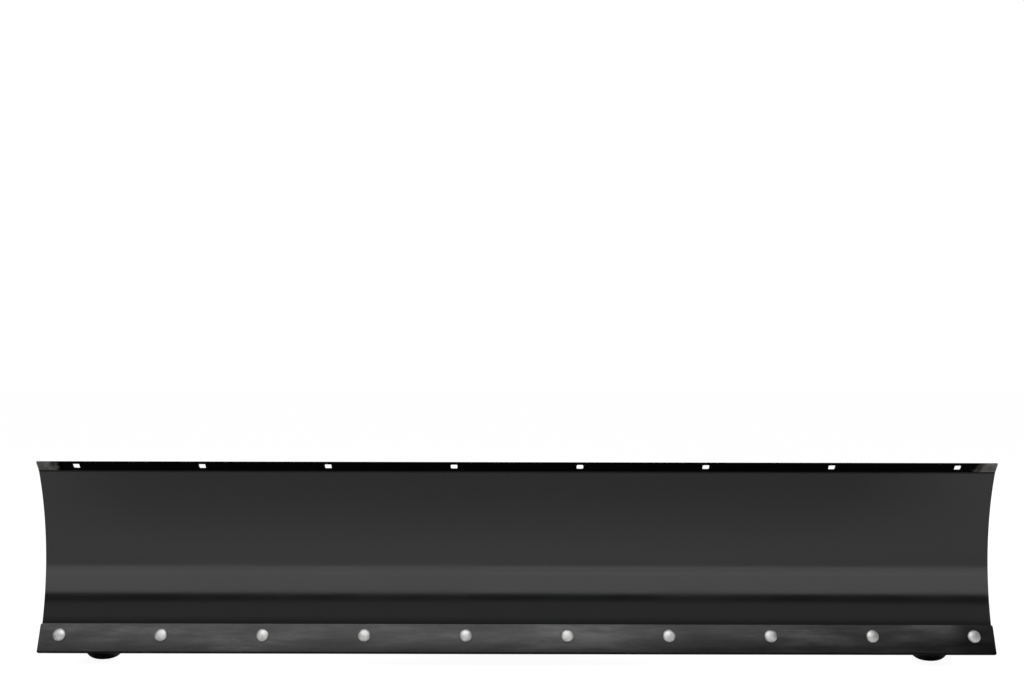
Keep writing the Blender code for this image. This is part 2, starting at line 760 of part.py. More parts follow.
def pivot_outline(end):
    """Plan view of a pivot plate from its round nose back to its rear edge."""
    corner_y = FRONT_CROSS_Y - FRAME_TUBE / 2
    reach = math.hypot(PIVOT_HALF, corner_y - KING_Y)
    tangent = math.atan2(corner_y - KING_Y, PIVOT_HALF) - math.acos(PIVOT_NOSE / reach)
    nose = arc((0.0, KING_Y), PIVOT_NOSE, tangent, -math.pi - tangent, 14)
    outline = [*nose]
    if end > corner_y:
        outline.append((-PIVOT_HALF, corner_y))
    outline += [(-PIVOT_HALF, end), (PIVOT_HALF, end)]
    if end > corner_y:
        outline.append((PIVOT_HALF, corner_y))
    return outline


def make_pivot_plates(pivot):
    """Two plates that hold the sector plate between them."""
    sector_top = SECTOR_LOW_Z + SECTOR_THICK
    top_low = sector_top + PIVOT_CLEAR
    bottom_high = SECTOR_LOW_Z - PIVOT_CLEAR
    cutters = [
        rod(KING_RADIUS + GAP, 0.08, (0.0, KING_Y, sector_top), AXIS_Z, 20),
        rod(CLEARANCE_HOLE, 0.08, (0.0, LOCK_Y, sector_top), AXIS_Z, 16),
    ]
    holes = add_guide("pivot_plate_holes", merge_solids(cutters), pivot)
    front_face = FRONT_CROSS_Y - FRAME_TUBE / 2 - GAP
    for name, end, low in (
        ("pivot_plate_top", PIVOT_TOP_END, top_low),
        ("pivot_plate_bottom", front_face, bottom_high - PIVOT_THICK),
    ):
        solid = plan_prism(pivot_outline(end), low, low + PIVOT_THICK)
        combine(add_object(name, solid, BLACK, pivot), holes, "DIFFERENCE")
    return top_low + PIVOT_THICK, bottom_high - PIVOT_THICK


def make_king_pin(pivot, top, bottom):
    """Pivot bolt and its nut; top and bottom are the plates' outer faces."""
    head = top + GAP
    shank_end = bottom - 0.024
    levels = (
        ("round", 0, shank_end),
        ("round", KING_RADIUS, shank_end),
        ("round", KING_RADIUS, head),
        ("hex", 0.015, head),
        ("hex", 0.015, head + 0.012),
        ("round", 0, head + 0.012),
    )
    centre = (0.0, KING_Y, 0.0)
    add_object("king_pin", aim(stack(levels, 24), centre, AXIS_Z), ZINC, pivot, 40)
    nut_top = bottom - GAP
    bore = KING_RADIUS + GAP
    nut_levels = (
        ("hex", 0.015, nut_top - 0.016),
        ("hex", 0.015, nut_top),
        ("round", bore, nut_top),
        ("round", bore, nut_top - 0.016),
    )
    nut = aim(stack(nut_levels, 24, hollow=True), centre, AXIS_Z)
    add_object("king_pin_nut", nut, ZINC, pivot, 40)


def make_frame_tubes(pivot):
    """Two cross tubes joined by two push tubes that slope down to the rear."""
    top_low = SECTOR_LOW_Z + SECTOR_THICK + PIVOT_CLEAR
    front_z = top_low - GAP - FRAME_TUBE / 2
    front_start = (-FRONT_CROSS_HALF, FRONT_CROSS_Y, front_z)
    front_end = (FRONT_CROSS_HALF, FRONT_CROSS_Y, front_z)
    solid = square_tube(front_start, front_end, FRAME_TUBE, 0)
    add_object("front_cross_tube", solid, BLACK, pivot)
    rear_start = (-REAR_CROSS_HALF, REAR_CROSS_Y, REAR_CROSS_Z)
    rear_end = (REAR_CROSS_HALF, REAR_CROSS_Y, REAR_CROSS_Z)
    solid = square_tube(rear_start, rear_end, FRAME_TUBE, 0)
    add_object("rear_cross_tube", solid, BLACK, pivot)
    for side, sign in SIDES:
        start = (sign * PUSH_FRONT_X, FRONT_CROSS_Y + FRAME_TUBE / 2 + GAP, front_z)
        end = (sign * PUSH_REAR_X, REAR_CROSS_Y - FRAME_TUBE / 2 - GAP, REAR_CROSS_Z)
        add_object(f"push_tube_{side}", square_tube(start, end, FRAME_TUBE, 1), BLACK, pivot)


def make_rear_hooks(pivot):
    """Hook plates whose open jaws take the vehicle's mount pin."""
    face = REAR_CROSS_Y + FRAME_TUBE / 2 + GAP
    rear = -FRONT
    jaw = arc((HOOK_JAW_Y, HOOK_JAW_Z), HOOK_JAW_HALF, math.pi / 2, 3 * math.pi / 2, 8)
    outline = [
        (face, 0.020),
        (face + 0.012, 0.0),
        (rear - 0.020, 0.0),
        (rear, 0.020),
        (rear, HOOK_JAW_Z - HOOK_JAW_HALF),
        *reversed(jaw),
        (rear, HOOK_JAW_Z + HOOK_JAW_HALF),
        (rear - 0.010, HOOK_TOP),
        (face, HOOK_TOP),
    ]
    for side, sign in SIDES:
        centre = sign * PUSH_REAR_X
        solid = side_prism(outline, centre - HOOK_THICK / 2, centre + HOOK_THICK / 2)
        add_object(f"rear_hook_{side}", solid, BLACK, pivot)


def make_lift_bracket(pivot, top):
    """Upright eye plate on the pivot plate."""
    foot_z = top + GAP
    drop = LIFT_Z - foot_z
    reach = math.hypot(LIFT_FOOT_HALF, drop)
    tangent = math.acos(LIFT_EYE_RADIUS / reach) - math.atan2(drop, LIFT_FOOT_HALF)
    nose = arc((LIFT_Y, LIFT_Z), LIFT_EYE_RADIUS, tangent, math.pi - tangent, 12)
    outline = [(LIFT_Y + LIFT_FOOT_HALF, foot_z), *nose, (LIFT_Y - LIFT_FOOT_HALF, foot_z)]
    half = LIFT_THICK / 2
    bracket = add_object("lift_bracket", side_prism(outline, -half, half), BLACK, pivot)
    hole = rod(SHACKLE_PIN_RADIUS + GAP, 0.04, (0.0, LIFT_Y, LIFT_Z), AXIS_X, 16)
    combine(bracket, add_guide("lift_bracket_hole", hole, pivot), "DIFFERENCE")


def make_lift_shackle(pivot):
    """Bow shackle with its cross pin, hanging back on the bracket."""
    middle = Vector((0.0, LIFT_Y, LIFT_Z))
    along = Vector((0.0, math.cos(SHACKLE_DROOP), math.sin(SHACKLE_DROOP)))
    bow = arc((0.0, SHACKLE_LEG), SHACKLE_HALF_GAP, 0.0, math.pi, 10)
    flat = [(SHACKLE_HALF_GAP, 0.0), *bow, (-SHACKLE_HALF_GAP, 0.0)]
    path = [middle + AXIS_X * x + along * reach for x, reach in flat]
    wire = sweep(path, SHACKLE_WIRE, AXIS_X.cross(along))
    shackle = add_object("lift_shackle", wire, ZINC, pivot, 40)
    pin = rod(SHACKLE_PIN_RADIUS, 2 * SHACKLE_PIN_HALF, middle, AXIS_X, 16)
    combine(shackle, add_guide("shackle_pin", pin, pivot), "UNION")


def make_drop_pin(pivot, top):
    """T-handled pin, parked above the sector plate."""
    low = SECTOR_LOW_Z + SECTOR_THICK + LOCK_PARKED_ABOVE
    grip_z = top + GAP + GUIDE_HEIGHT + LOCK_TRAVEL + GRIP_RADIUS + GAP
    levels = (
        ("round", 0, low),
        ("round", LOCK_RADIUS - 0.002, low),
        ("round", LOCK_RADIUS, low + 0.003),
        ("round", LOCK_RADIUS, grip_z + 0.008),
        ("round", 0, grip_z + 0.008),
    )
    pin = add_object("drop_pin", aim(stack(levels, 16), (0.0, LOCK_Y, 0.0), AXIS_Z), ZINC, pivot, 40)
    grip = rod(GRIP_RADIUS, 2 * GRIP_HALF, (0.0, LOCK_Y, grip_z), AXIS_X, 12)
    combine(pin, add_guide("drop_pin_grip", grip, pivot), "UNION")


# --- assembly --------------------------------------------------------------

clear_scene()
BLACK = make_material("black_powder_coat", (0.012, 0.012, 0.013), 0.35, 0.0)
WORN_STEEL = make_material("dark_wear_steel", (0.020, 0.020, 0.021), 0.45, 0.3)
CAST = make_material("black_cast_iron", (0.015, 0.015, 0.015), 0.6, 0.2)
ZINC = make_material("zinc_plate", (0.62, 0.62, 0.62), 0.35, 1.0)
GUIDE_MATERIAL = make_material("guide", (0.5, 0.5, 0.5), 0.5, 0.0)

frame_pivot = make_pivot("push_frame_origin", (0.0, 0.0, 0.0))
angle_pivot = make_pivot("blade_angle_axis", (0.0, KING_Y, SECTOR_LOW_Z), frame_pivot)
trip_pivot = make_pivot("blade_trip_axis", (0.0, TRIP_Y, TRIP_Z), angle_pivot)
drop_pivot = make_pivot("drop_pin_axis", (0.0, LOCK_Y, SECTOR_LOW_Z), frame_pivot)
lift_pivot = make_pivot("lift_shackle_axis", (0.0, LIFT_Y, LIFT_Z), frame_pivot)

make_moldboard(trip_pivot)
make_wear_bar(trip_pivot)
make_wear_bar_fasteners(trip_pivot)
trip_bore = make_ribs(trip_pivot)
make_rails(trip_pivot)
make_spring_anchors(trip_pivot)
make_shoe_brackets(trip_pivot)
for shoe_side, shoe_sign in SIDES:
    shoe_pivot = make_pivot(f"shoe_{shoe_side}_axis", (shoe_sign * SHOE_X, SHOE_Y, 0.0), trip_pivot)
    make_shoe(shoe_side, shoe_sign, shoe_pivot)

make_swivel_frame(angle_pivot, trip_bore)
make_sector_plate(angle_pivot)
make_trip_pins(angle_pivot)
make_trip_springs(angle_pivot)

plates_top, plates_bottom = make_pivot_plates(frame_pivot)
make_king_pin(frame_pivot, plates_top, plates_bottom)
make_frame_tubes(frame_pivot)
make_rear_hooks(frame_pivot)
make_lift_bracket(frame_pivot, plates_top)
guide_low = plates_top + GAP
guide_tube = pipe(
    GUIDE_RADIUS, CLEARANCE_HOLE, guide_low, guide_low + GUIDE_HEIGHT, (0.0, LOCK_Y, 0.0)
)
add_object("drop_pin_guide", guide_tube, BLACK, frame_pivot, 40)
make_lift_shackle(lift_pivot)
make_drop_pin(drop_pivot, plates_top)
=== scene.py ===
"""Looks of the plow blade: fine surfaces, springs, welds, materials, light and camera."""

import json
import math

import bmesh
import bpy
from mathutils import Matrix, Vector


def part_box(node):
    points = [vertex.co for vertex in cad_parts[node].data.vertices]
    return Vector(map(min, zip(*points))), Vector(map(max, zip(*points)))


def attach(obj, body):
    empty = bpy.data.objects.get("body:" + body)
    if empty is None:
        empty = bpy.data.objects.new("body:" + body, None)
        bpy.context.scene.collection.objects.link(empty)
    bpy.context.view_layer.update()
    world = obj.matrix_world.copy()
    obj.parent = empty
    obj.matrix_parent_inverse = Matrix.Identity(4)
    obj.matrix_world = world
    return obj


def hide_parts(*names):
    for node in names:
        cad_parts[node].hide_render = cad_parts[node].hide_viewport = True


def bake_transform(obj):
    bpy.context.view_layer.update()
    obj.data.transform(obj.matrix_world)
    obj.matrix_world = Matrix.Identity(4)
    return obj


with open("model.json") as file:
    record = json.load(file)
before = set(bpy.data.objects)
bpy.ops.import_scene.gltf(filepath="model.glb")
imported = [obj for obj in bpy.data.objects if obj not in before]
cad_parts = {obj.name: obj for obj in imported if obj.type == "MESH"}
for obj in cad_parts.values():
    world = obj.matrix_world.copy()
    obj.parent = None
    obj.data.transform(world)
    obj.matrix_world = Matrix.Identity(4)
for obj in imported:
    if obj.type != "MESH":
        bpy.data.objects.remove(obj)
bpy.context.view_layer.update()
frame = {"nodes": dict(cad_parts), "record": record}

# Sizes shared with the frame, in metres
GAP = 0.0003
SHEET = 0.0035
CURVE_RADIUS = 0.400
CURVE_TOP_LEAN = math.radians(25.7)
CURVE_FOOT_LEAN = math.radians(17.6)
CURVE_STEPS = 72
LIP_LENGTH = 0.0215
LIP_LEAN = math.radians(41.0)
EDGE_LEAN = math.radians(23.6)
FLAP_HOLE_COUNT = 8
FLAP_HOLE_PITCH = 0.240
FLAP_HOLE_SIZE = 0.0125
FLAP_HOLE_CORNER = 0.0020
BAR_HEIGHT = 0.0565
BAR_THICK = 0.008
BAR_BELOW_BEND = 0.0035
FLANGE_ABOVE_BAR_FOOT = 0.012
BOLT_COUNT = 10
BOLT_PITCH = 0.1945
BOLT_BELOW_BAR_TOP = 0.0225
BOLT_HEAD_RADIUS = 0.01235
BOLT_HEAD_HEIGHT = 0.0056
BOLT_NECK_HALF = 0.0050
BOLT_SHANK_RADIUS = 0.0048
BOLT_LENGTH = 0.0245
NUT_HALF_FLATS = 0.0085
NUT_HEIGHT = 0.0085
RIB_THICK = 0.006
WALL = 0.003
TUBE = 0.040
HINGE_X = 0.230
TRIP_EAR_HALF = 0.0245
TRIP_PIN_RADIUS = 0.007
TRIP_PIN_HEAD = 0.011
SPRING_X = 0.120
SPRING_LUG_RADIUS = 0.013
SPRING_LOW = (0.190, 0.155)
SPRING_HIGH = (0.155, 0.313)
SPRING_RADIUS = 0.015
SHOE_FLAT = 0.010
SHOE_RIM_Z = 0.021
SHOE_RIM_THICK = 0.006
STEM_RADIUS = 0.0125
COLLAR_RADIUS = 0.018
SHOE_GUIDE_LOW = 0.060
KING_RADIUS = 0.010
HEX_HALF = 0.015
KING_HEAD = 0.012
LOCK_RADIUS = 0.007
GRIP_RADIUS = 0.005
GRIP_BELOW_TOP = 0.008
GRIP_RINGS_OUT = 0.021
GRIP_RING_PITCH = 0.0034
LOCK_NOSE = 0.0034
GUIDE_RADIUS = 0.014
SHACKLE_PIN_RADIUS = 0.006
SHACKLE_WIRE = 0.005
SHACKLE_HALF_GAP = 0.013
SHACKLE_LEG = 0.042
SHACKLE_DROOP = math.radians(-42.0)
CLIP_RADIUS = 0.003
CLIP_HEAD = 0.0055
SECTOR_PLATE_THICK = 0.010
SPRING_LUG_HALF = 0.004

# Nodes that share a shape
RIBS = ("mid_rib", "end_rib", "inner_hinge_rib", "outer_hinge_rib")
CROSS_TUBES = ("bottom_rail", "top_rail", "swivel_frame", "front_cross_tube", "rear_cross_tube")
SIDES = (("left", -1), ("right", 1))

# Bevels, wires and beads that only the looks need; sharp angles and stitches are in degrees
PLATE_BEVEL = 0.0007
TUBE_BEVEL = 0.0014
SHEET_BEVEL = 0.0005
BAR_BEVEL = 0.0010
BAR_CORNER = 0.004
CORNER_STEPS = 5
SHEET_SHARP = 25.0
BAR_SHARP = 30.0
FLANGE_SOFTENING = 0.0035
LIP_SOFTENING = 0.0030
BOLT_HOLE_PLAY = 0.0008
BOLT_RIM = 0.0011
SHOE_DISH_INSET = 0.004
SHOE_DISH_RISE = 0.008
SPARE_HOLE_RISE = 0.0095
BORE_REACH = 0.03
TRIP_HEAD_THICK = 0.0047
CLIP_HEAD_THICK = 0.0040
SPRING_WIRE = 0.0023
SPRING_TURNS = 27
COIL_STEPS = 22
HOOK_STEPS = 14
HOOK_SWEEP = math.radians(150.0)
BEAD_RADIUS = 0.0026
BEAD_STEP = 0.0012
BEAD_RIPPLE = 0.0038
BEAD_STANDOFF = 0.0006
EAR_BEAD_HALF = 0.014
STITCH_TOP = 14.5
STITCH_PITCH = 10.3
STITCH_STEP = 1.1
TUBE_STITCH_HALF = 0.018
TUBE_STITCH_PITCH = 0.060
COLLAR_RINGS = 4
HAIRPIN_WIRE = 0.0010
PLUG_DEPTH = 0.012
PLUG_PLAY = 0.0004
PLUG_BEVEL = 0.0004

# Sectors of the rings that have flats
HEX = math.pi / 3
SQUARE = math.pi / 2

# Camera
CAMERA_LENS = 46.13
CAMERA_DISTANCE = 2.4945
CAMERA_HEIGHT = 0.5586
CAMERA_SHIFT_X = -0.0051
CAMERA_SHIFT_Y = 0.0356
CAMERA_ROLL = math.radians(-0.12)

# Light
FLOOR_HALF = 40.0
FLOOR_GLOW = 1.08
FLOOR_GLOW_SHARE = 0.88
SKY_LOW = 0.02
SKY_HIGH = 0.46
SKY_RISE_START = 0.215
SKY_RISE_END = 0.245

# Each band of the front strip has its foot, its top and its radiance
STRIP_BANDS = ((0.0, 0.11, 1.20), (0.11, 0.54, 1.76))
STRIP_Y = -3.0
STRIP_WIDTH = 7.0

# Place, target, width, height and radiance
TOP_KEY = ((-0.5, -2.6, 3.0), (0.0, -0.2, 0.1), 3.2, 2.0, 3.5)
BACK_FILL = ((0.5, 3.2, 3.0), (0.0, 0.0, 0.1), 4.0, 2.5, 7.0)

AXIS_X = Vector((1.0, 0.0, 0.0))
AXIS_Z = Vector((0.0, 0.0, 1.0))


def low(node):
    """Lowest corner of a CAD node's box."""
    return Vector(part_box(node)[0])


def high(node):
    """Highest corner of a CAD node's box."""
    return Vector(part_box(node)[1])


def middle(node):
    """Middle of a CAD node's box."""
    return (low(node) + high(node)) / 2


def half_width(node):
    """Half the width of a CAD node's box along X."""
    return (high(node).x - low(node).x) / 2


HALF_WIDTH = high("moldboard").x
FRONT = low("moldboard").y


# --- materials ---


def map_range(tree, *limits):
    """Map Range node with its four limits."""
    node = tree.nodes.new("ShaderNodeMapRange")
    for name, value in zip(("From Min", "From Max", "To Min", "To Max"), limits):
        node.inputs[name].default_value = value
    return node


class Paint:
    """Small helper that wires a Principled material node by node."""

    def __init__(self, name, roughness, metallic=0.0, ior=1.45):
        self.material = bpy.data.materials.new(name)
        self.material.use_nodes = True
        self.tree = self.material.node_tree
        self.shader = self.tree.nodes["Principled BSDF"]
        self.shader.inputs["Roughness"].default_value = roughness
        self.shader.inputs["Metallic"].default_value = metallic
        self.shader.inputs["IOR"].default_value = ior
        self.place = self.tree.nodes.new("ShaderNodeTexCoord").outputs["Object"]

    def link(self, source, target):
        self.tree.links.new(source, target)

    def stretch(self, scale):
        """Object coordinates scaled per axis, for streaks and brushing."""
        mapping = self.tree.nodes.new("ShaderNodeMapping")
        mapping.inputs["Scale"].default_value = scale
        self.link(self.place, mapping.inputs["Vector"])
        return mapping.outputs["Vector"]

    def noise(self, scale, detail=3.0, place=None, roughness=0.5):
        node = self.tree.nodes.new("ShaderNodeTexNoise")
        node.inputs["Scale"].default_value = scale
        node.inputs["Detail"].default_value = detail
        node.inputs["Roughness"].default_value = roughness
        self.link(place or self.place, node.inputs["Vector"])
        return node.outputs["Fac"]

    def ramp(self, factor, stops):
        """Colour ramp; stops are (position, colour)."""
        node = self.tree.nodes.new("ShaderNodeValToRGB")
        elements = node.color_ramp.elements
        while len(elements) < len(stops):
            elements.new(0.5)
        for element, (position, colour) in zip(elements, stops):
            element.position = position
            element.color = (*colour, 1.0)
        self.link(factor, node.inputs["Fac"])
        return node.outputs["Color"]

    def spread(self, factor, *limits):
        """One number spread from its own low and high to another low and high."""
        node = map_range(self.tree, *limits)
        self.link(factor, node.inputs["Value"])
        return node.outputs["Result"]

    def tint(self, factor, stops):
        """Base colour from a ramp."""
        self.set("Base Color", self.ramp(factor, stops))

    def gloss(self, factor, *limits):
        """Roughness spread over a factor."""
        self.set("Roughness", self.spread(factor, *limits))

    def math(self, operation, first, second):
        node = self.tree.nodes.new("ShaderNodeMath")
        node.operation = operation
        for socket, value in zip(node.inputs, (first, second)):
            if isinstance(value, (int, float)):
                socket.default_value = value
            else:
                self.link(value, socket)
        return node.outputs["Value"]

    def mix(self, factor, first, second):
        """Mixes two colours, given as links or as plain colours."""
        node = self.tree.nodes.new("ShaderNodeMix")
        node.data_type = "RGBA"
        self.link(factor, node.inputs["Factor"])
        for socket, value in zip((node.inputs[6], node.inputs[7]), (first, second)):
            if isinstance(value, tuple):
                socket.default_value = (*value, 1.0)
            else:
                self.link(value, socket)
        return node.outputs[2]

    def axis(self, name):
        """One coordinate of the object, in metres."""
        node = self.tree.nodes.new("ShaderNodeSeparateXYZ")
        self.link(self.place, node.inputs["Vector"])
        return node.outputs[name]

    def bump(self, height, distance, strength=1.0, below=None):
        node = self.tree.nodes.new("ShaderNodeBump")
        node.inputs["Distance"].default_value = distance
        node.inputs["Strength"].default_value = strength
        self.link(height, node.inputs["Height"])
        if below is not None:
            self.link(below, node.inputs["Normal"])
        return node.outputs["Normal"]

    def set(self, socket, source):
        self.link(source, self.shader.inputs[socket])


def grey(level):
    """Neutral colour."""
    return (level, level, level)


def orange_peel(paint, distance=0.00002):
    """Gives a paint the fine texture of sprayed and baked powder."""
    paint.set("Normal", paint.bump(paint.noise(420.0, 2.0), distance))


def powder_coat():
    """Semi-gloss black powder coat with faint warm and cool drift and rubbed patches, and painted
    shade that weakens its reflection just above the wear bar's seam and at the lip's crease.
    """
    paint = Paint("powder_coat", 0.10, ior=1.43)
    warm = (0.0095, 0.0090, 0.0088)
    cool = (0.0085, 0.0090, 0.0092)
    paint.tint(paint.noise(5.0, 3.0), ((0.25, warm), (0.75, cool)))
    rub = paint.noise(16.0, 5.0, paint.stretch((0.4, 1.0, 1.0)))
    paint.gloss(rub, 0.3, 0.75, 0.065, 0.115)
    seam = high("wear_bar").z
    crease = high("moldboard").z - LIP_LENGTH * math.cos(LIP_LEAN)
    # Painted shade: the reflection fades over the 12 mm above the wear bar, for the bar's contact
    # shadow, and all but vanishes from 6.5 mm below the lip's crease upward.
    seam_painted_shade = paint.spread(paint.axis("Z"), seam, seam + 0.012, 0.22, 0.5)
    crease_painted_shade = paint.spread(paint.axis("Z"), crease - 0.0065, crease - 0.0030, 1.0, 0.06)
    paint.set("Specular IOR Level", paint.math("MULTIPLY", seam_painted_shade, crease_painted_shade))
    orange_peel(paint)
    return paint.material


def frame_coat():
    """The same coat on the frame behind the blade, with patches of dust."""
    paint = Paint("frame_coat", 0.32, ior=1.45)
    dust = paint.noise(9.0, 6.0)
    paint.tint(dust, ((0.45, grey(0.012)), (0.8, (0.030, 0.029, 0.027))))
    paint.gloss(dust, 0.3, 0.75, 0.26, 0.48)
    orange_peel(paint, 0.00004)
    return paint.material


def lip_painted_shade():
    """Painted shade: flat black inside of the lip with almost no reflection, and a painted grey
    reflection at its two ends.
    """
    paint = Paint("lip_painted_shade", 0.75, ior=1.06)
    drift = paint.noise(30.0, 4.0)
    # Painted shade: near-black with almost no reflection, standing in for the shadowed ground the
    # lip mirrors.
    black = paint.ramp(drift, ((0.3, grey(0.0006)), (0.8, grey(0.0020))))
    # Painted reflection: grey patches at both ends stand in for the brighter floor the lip mirrors
    # beyond the blade's shadow.
    end_patch_noise = paint.noise(60.0, 5.0)
    painted_end_reflection = paint.ramp(end_patch_noise, ((0.3, (0.05, 0.048, 0.046)), (0.7, (0.16, 0.155, 0.15))))
    ragged = paint.spread(end_patch_noise, 0.3, 0.7, -0.008, 0.008)
    edge = paint.math("ADD", paint.math("ABSOLUTE", paint.axis("X"), 0.0), ragged)
    ends = paint.spread(edge, HALF_WIDTH - 0.042, HALF_WIDTH - 0.022, 0.0, 1.0)
    paint.set("Base Color", paint.mix(ends, black, painted_end_reflection))
    paint.gloss(drift, 0.3, 0.8, 0.7, 0.9)
    orange_peel(paint)
    return paint.material


def wear_steel():
    """Black paint rubbed thin along the bar, with scratches; painted shade darkens it toward the
    right, where the key light falls off, and in a dark line along its foot, and it is also darker
    toward the bottom and at its right end.
    """
    paint = Paint("wear_steel", 0.42, ior=1.5)
    streak = paint.noise(26.0, 8.0, paint.stretch((0.35, 1.0, 2.2)), 0.65)
    patch = paint.noise(5.0, 5.0, paint.stretch((0.9, 1.0, 3.0)))
    both = paint.math("MULTIPLY", streak, patch)
    bare = (0.094, 0.094, 0.093)
    worn = paint.ramp(both, ((0.15, grey(0.004)), (0.26, grey(0.032)), (0.40, bare)))
    face_low = low("wear_bar").z + BAR_THICK * math.sin(EDGE_LEAN)
    # Painted shade: darker from the middle to the right end, where the key light from the front
    # left falls off.
    along = paint.spread(paint.axis("X"), 0.0, HALF_WIDTH, 1.0, 0.75)
    # Darker over the last 85 to 55 mm of the right end.
    right_end = paint.spread(paint.axis("X"), HALF_WIDTH - 0.085, HALF_WIDTH - 0.055, 1.0, 0.4)
    # Darker towards the bottom, more so to the right.
    slope = paint.math("MULTIPLY", paint.axis("X"), 0.015)
    slanted = paint.math("SUBTRACT", paint.axis("Z"), slope)
    upward = paint.spread(slanted, face_low + 0.002, face_low + 0.032, 0.28, 1.0)
    # Painted shade: a dark line along the bar's foot, where its bottom edge faces down.
    foot = paint.spread(paint.axis("Z"), face_low + 0.0012, face_low + 0.0030, 0.0, 1.0)
    ends = paint.math("MULTIPLY", along, right_end)
    shade = paint.math("MULTIPLY", paint.math("MULTIPLY", ends, upward), foot)
    paint.set("Base Color", paint.mix(shade, grey(0.003), worn))
    paint.gloss(streak, 0.3, 0.7, 0.32, 0.55)
    # The painted shade also weakens the reflection.
    paint.set("Specular IOR Level", paint.spread(shade, 0.0, 1.0, 0.03, 0.5))
    scratch = paint.noise(90.0, 3.0, paint.stretch((0.06, 1.0, 1.0)))
    peel = paint.bump(paint.noise(300.0, 3.0), 0.00004)
    paint.set("Normal", paint.bump(scratch, 0.00008, 1.0, peel))
    return paint.material


def cast_black():
    """Black paint over a sand-cast skin."""
    paint = Paint("cast_black", 0.5, ior=1.25)
    grain = paint.noise(260.0, 5.0)
    wear = paint.noise(30.0, 5.0)
    paint.tint(wear, ((0.4, grey(0.002)), (0.8, (0.010, 0.0095, 0.009))))
    paint.gloss(wear, 0.3, 0.7, 0.42, 0.65)
    paint.set("Normal", paint.bump(grain, 0.00018))
    return paint.material


def zinc_plate(name, light, dark, roughness):
    """Bright zinc with a slightly cloudy passivation and fine drawing lines."""
    paint = Paint(name, roughness, metallic=1.0)
    cloud = paint.noise(120.0, 4.0)
    paint.tint(cloud, ((0.3, dark), (0.7, light)))
    paint.gloss(cloud, 0.3, 0.7, roughness * 0.8, roughness * 1.3)
    paint.set("Normal", paint.bump(paint.noise(900.0, 2.0), 0.00002))
    return paint.material


def weld_steel():
    """Painted weld metal."""
    paint = Paint("weld_coat", 0.35, ior=1.45)
    soot = paint.noise(80.0, 4.0)
    paint.tint(soot, ((0.3, grey(0.010)), (0.8, (0.026, 0.025, 0.024))))
    paint.gloss(soot, 0.3, 0.8, 0.28, 0.5)
    orange_peel(paint, 0.00005)
    return paint.material


def plastic_cap():
    """Moulded black plastic of the tube plugs."""
    paint = Paint("plug_plastic", 0.5, ior=1.46)
    grain = paint.noise(700.0, 2.0)
    paint.tint(grain, ((0.3, grey(0.008)), (0.8, grey(0.016))))
    paint.gloss(grain, 0.3, 0.8, 0.42, 0.6)
    paint.set("Normal", paint.bump(grain, 0.00003))
    return paint.material


# --- mesh helpers ---


def add_object(name, data):
    """Puts a new object into the scene."""
    item = bpy.data.objects.new(name, data)
    bpy.context.scene.collection.objects.link(item)
    return item


def to_mesh(name, solid):
    """Turns a bmesh into a mesh and frees it."""
    mesh = bpy.data.meshes.new(name)
    solid.to_mesh(mesh)
    solid.free()
    return mesh


def add_piece(name, solid, material, body, replaced=(), smooth_angle=35.0, bevel=0.0):
    """Makes a visible piece from a bmesh in the frame's coordinates."""
    bmesh.ops.recalc_face_normals(solid, faces=solid.faces)
    mesh = to_mesh(name, solid)
    mesh.shade_smooth()
    mesh.set_sharp_from_angle(angle=math.radians(smooth_angle))
    mesh.materials.append(material)
    piece = add_object(name, mesh)
    if bevel:
        add_bevel(piece, bevel)
    if body:
        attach(piece, body)
    if replaced:
        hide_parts(*replaced)
    return piece


def add_bevel(piece, width):
    """Rounds the piece's sharp edges."""
    bevel = piece.modifiers.new("edges", "BEVEL")
    bevel.width = width
    bevel.segments = 2
    bevel.limit_method = "ANGLE"
    bevel.angle_limit = math.radians(32.0)
    bevel.harden_normals = True


def cut_with(piece, solids, sharp_angle):
    """Cuts a piece with several solids, for good."""
    cutters = merge_solids(solids)
    bmesh.ops.recalc_face_normals(cutters, faces=cutters.faces)
    cutter = add_object("cutter", to_mesh("cutter", cutters))
    boolean = piece.modifiers.new("cut", "BOOLEAN")
    boolean.operation = "DIFFERENCE"
    boolean.solver = "EXACT"
    boolean.object = cutter
    bpy.context.view_layer.update()
    evaluated = piece.evaluated_get(bpy.context.evaluated_depsgraph_get())
    result = bpy.data.meshes.new_from_object(evaluated)
    piece.modifiers.remove(boolean)
    piece.data = result
    bpy.data.objects.remove(cutter)
    piece.data.set_sharp_from_angle(angle=math.radians(sharp_angle))


def settle(piece, bevel, node):
    """Bevels a cut piece, and lets it ride the blade in place of its node."""
    add_bevel(piece, bevel)
    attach(piece, "blade")
    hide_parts(node)


def join_rings(solid, rings, material_at=None):
    """Faces between neighbouring rings; a ring of one point closes on it."""
    count = max(len(ring) for ring in rings)
    for lower, upper in zip(rings, rings[1:]):
        for index in range(count):
            after = (index + 1) % count
            if len(lower) == 1:
                corners = (lower[0], upper[index], upper[after])
            elif len(upper) == 1:
                corners = (lower[index], lower[after], upper[0])
            else:
                corners = (lower[index], lower[after], upper[after], upper[index])
            face = solid.faces.new(corners)
            if material_at:
                face.material_index = material_at(index)


def prism(outlines, material_at=None):
    """Closed solid between two outlines of points; material_at(index) picks each strip's slot."""
    solid = bmesh.new()
    rings = [[solid.verts.new(point) for point in outline] for outline in outlines]
    solid.faces.new(rings[0])
    solid.faces.new(rings[1])
    join_rings(solid, rings, material_at)
    return solid


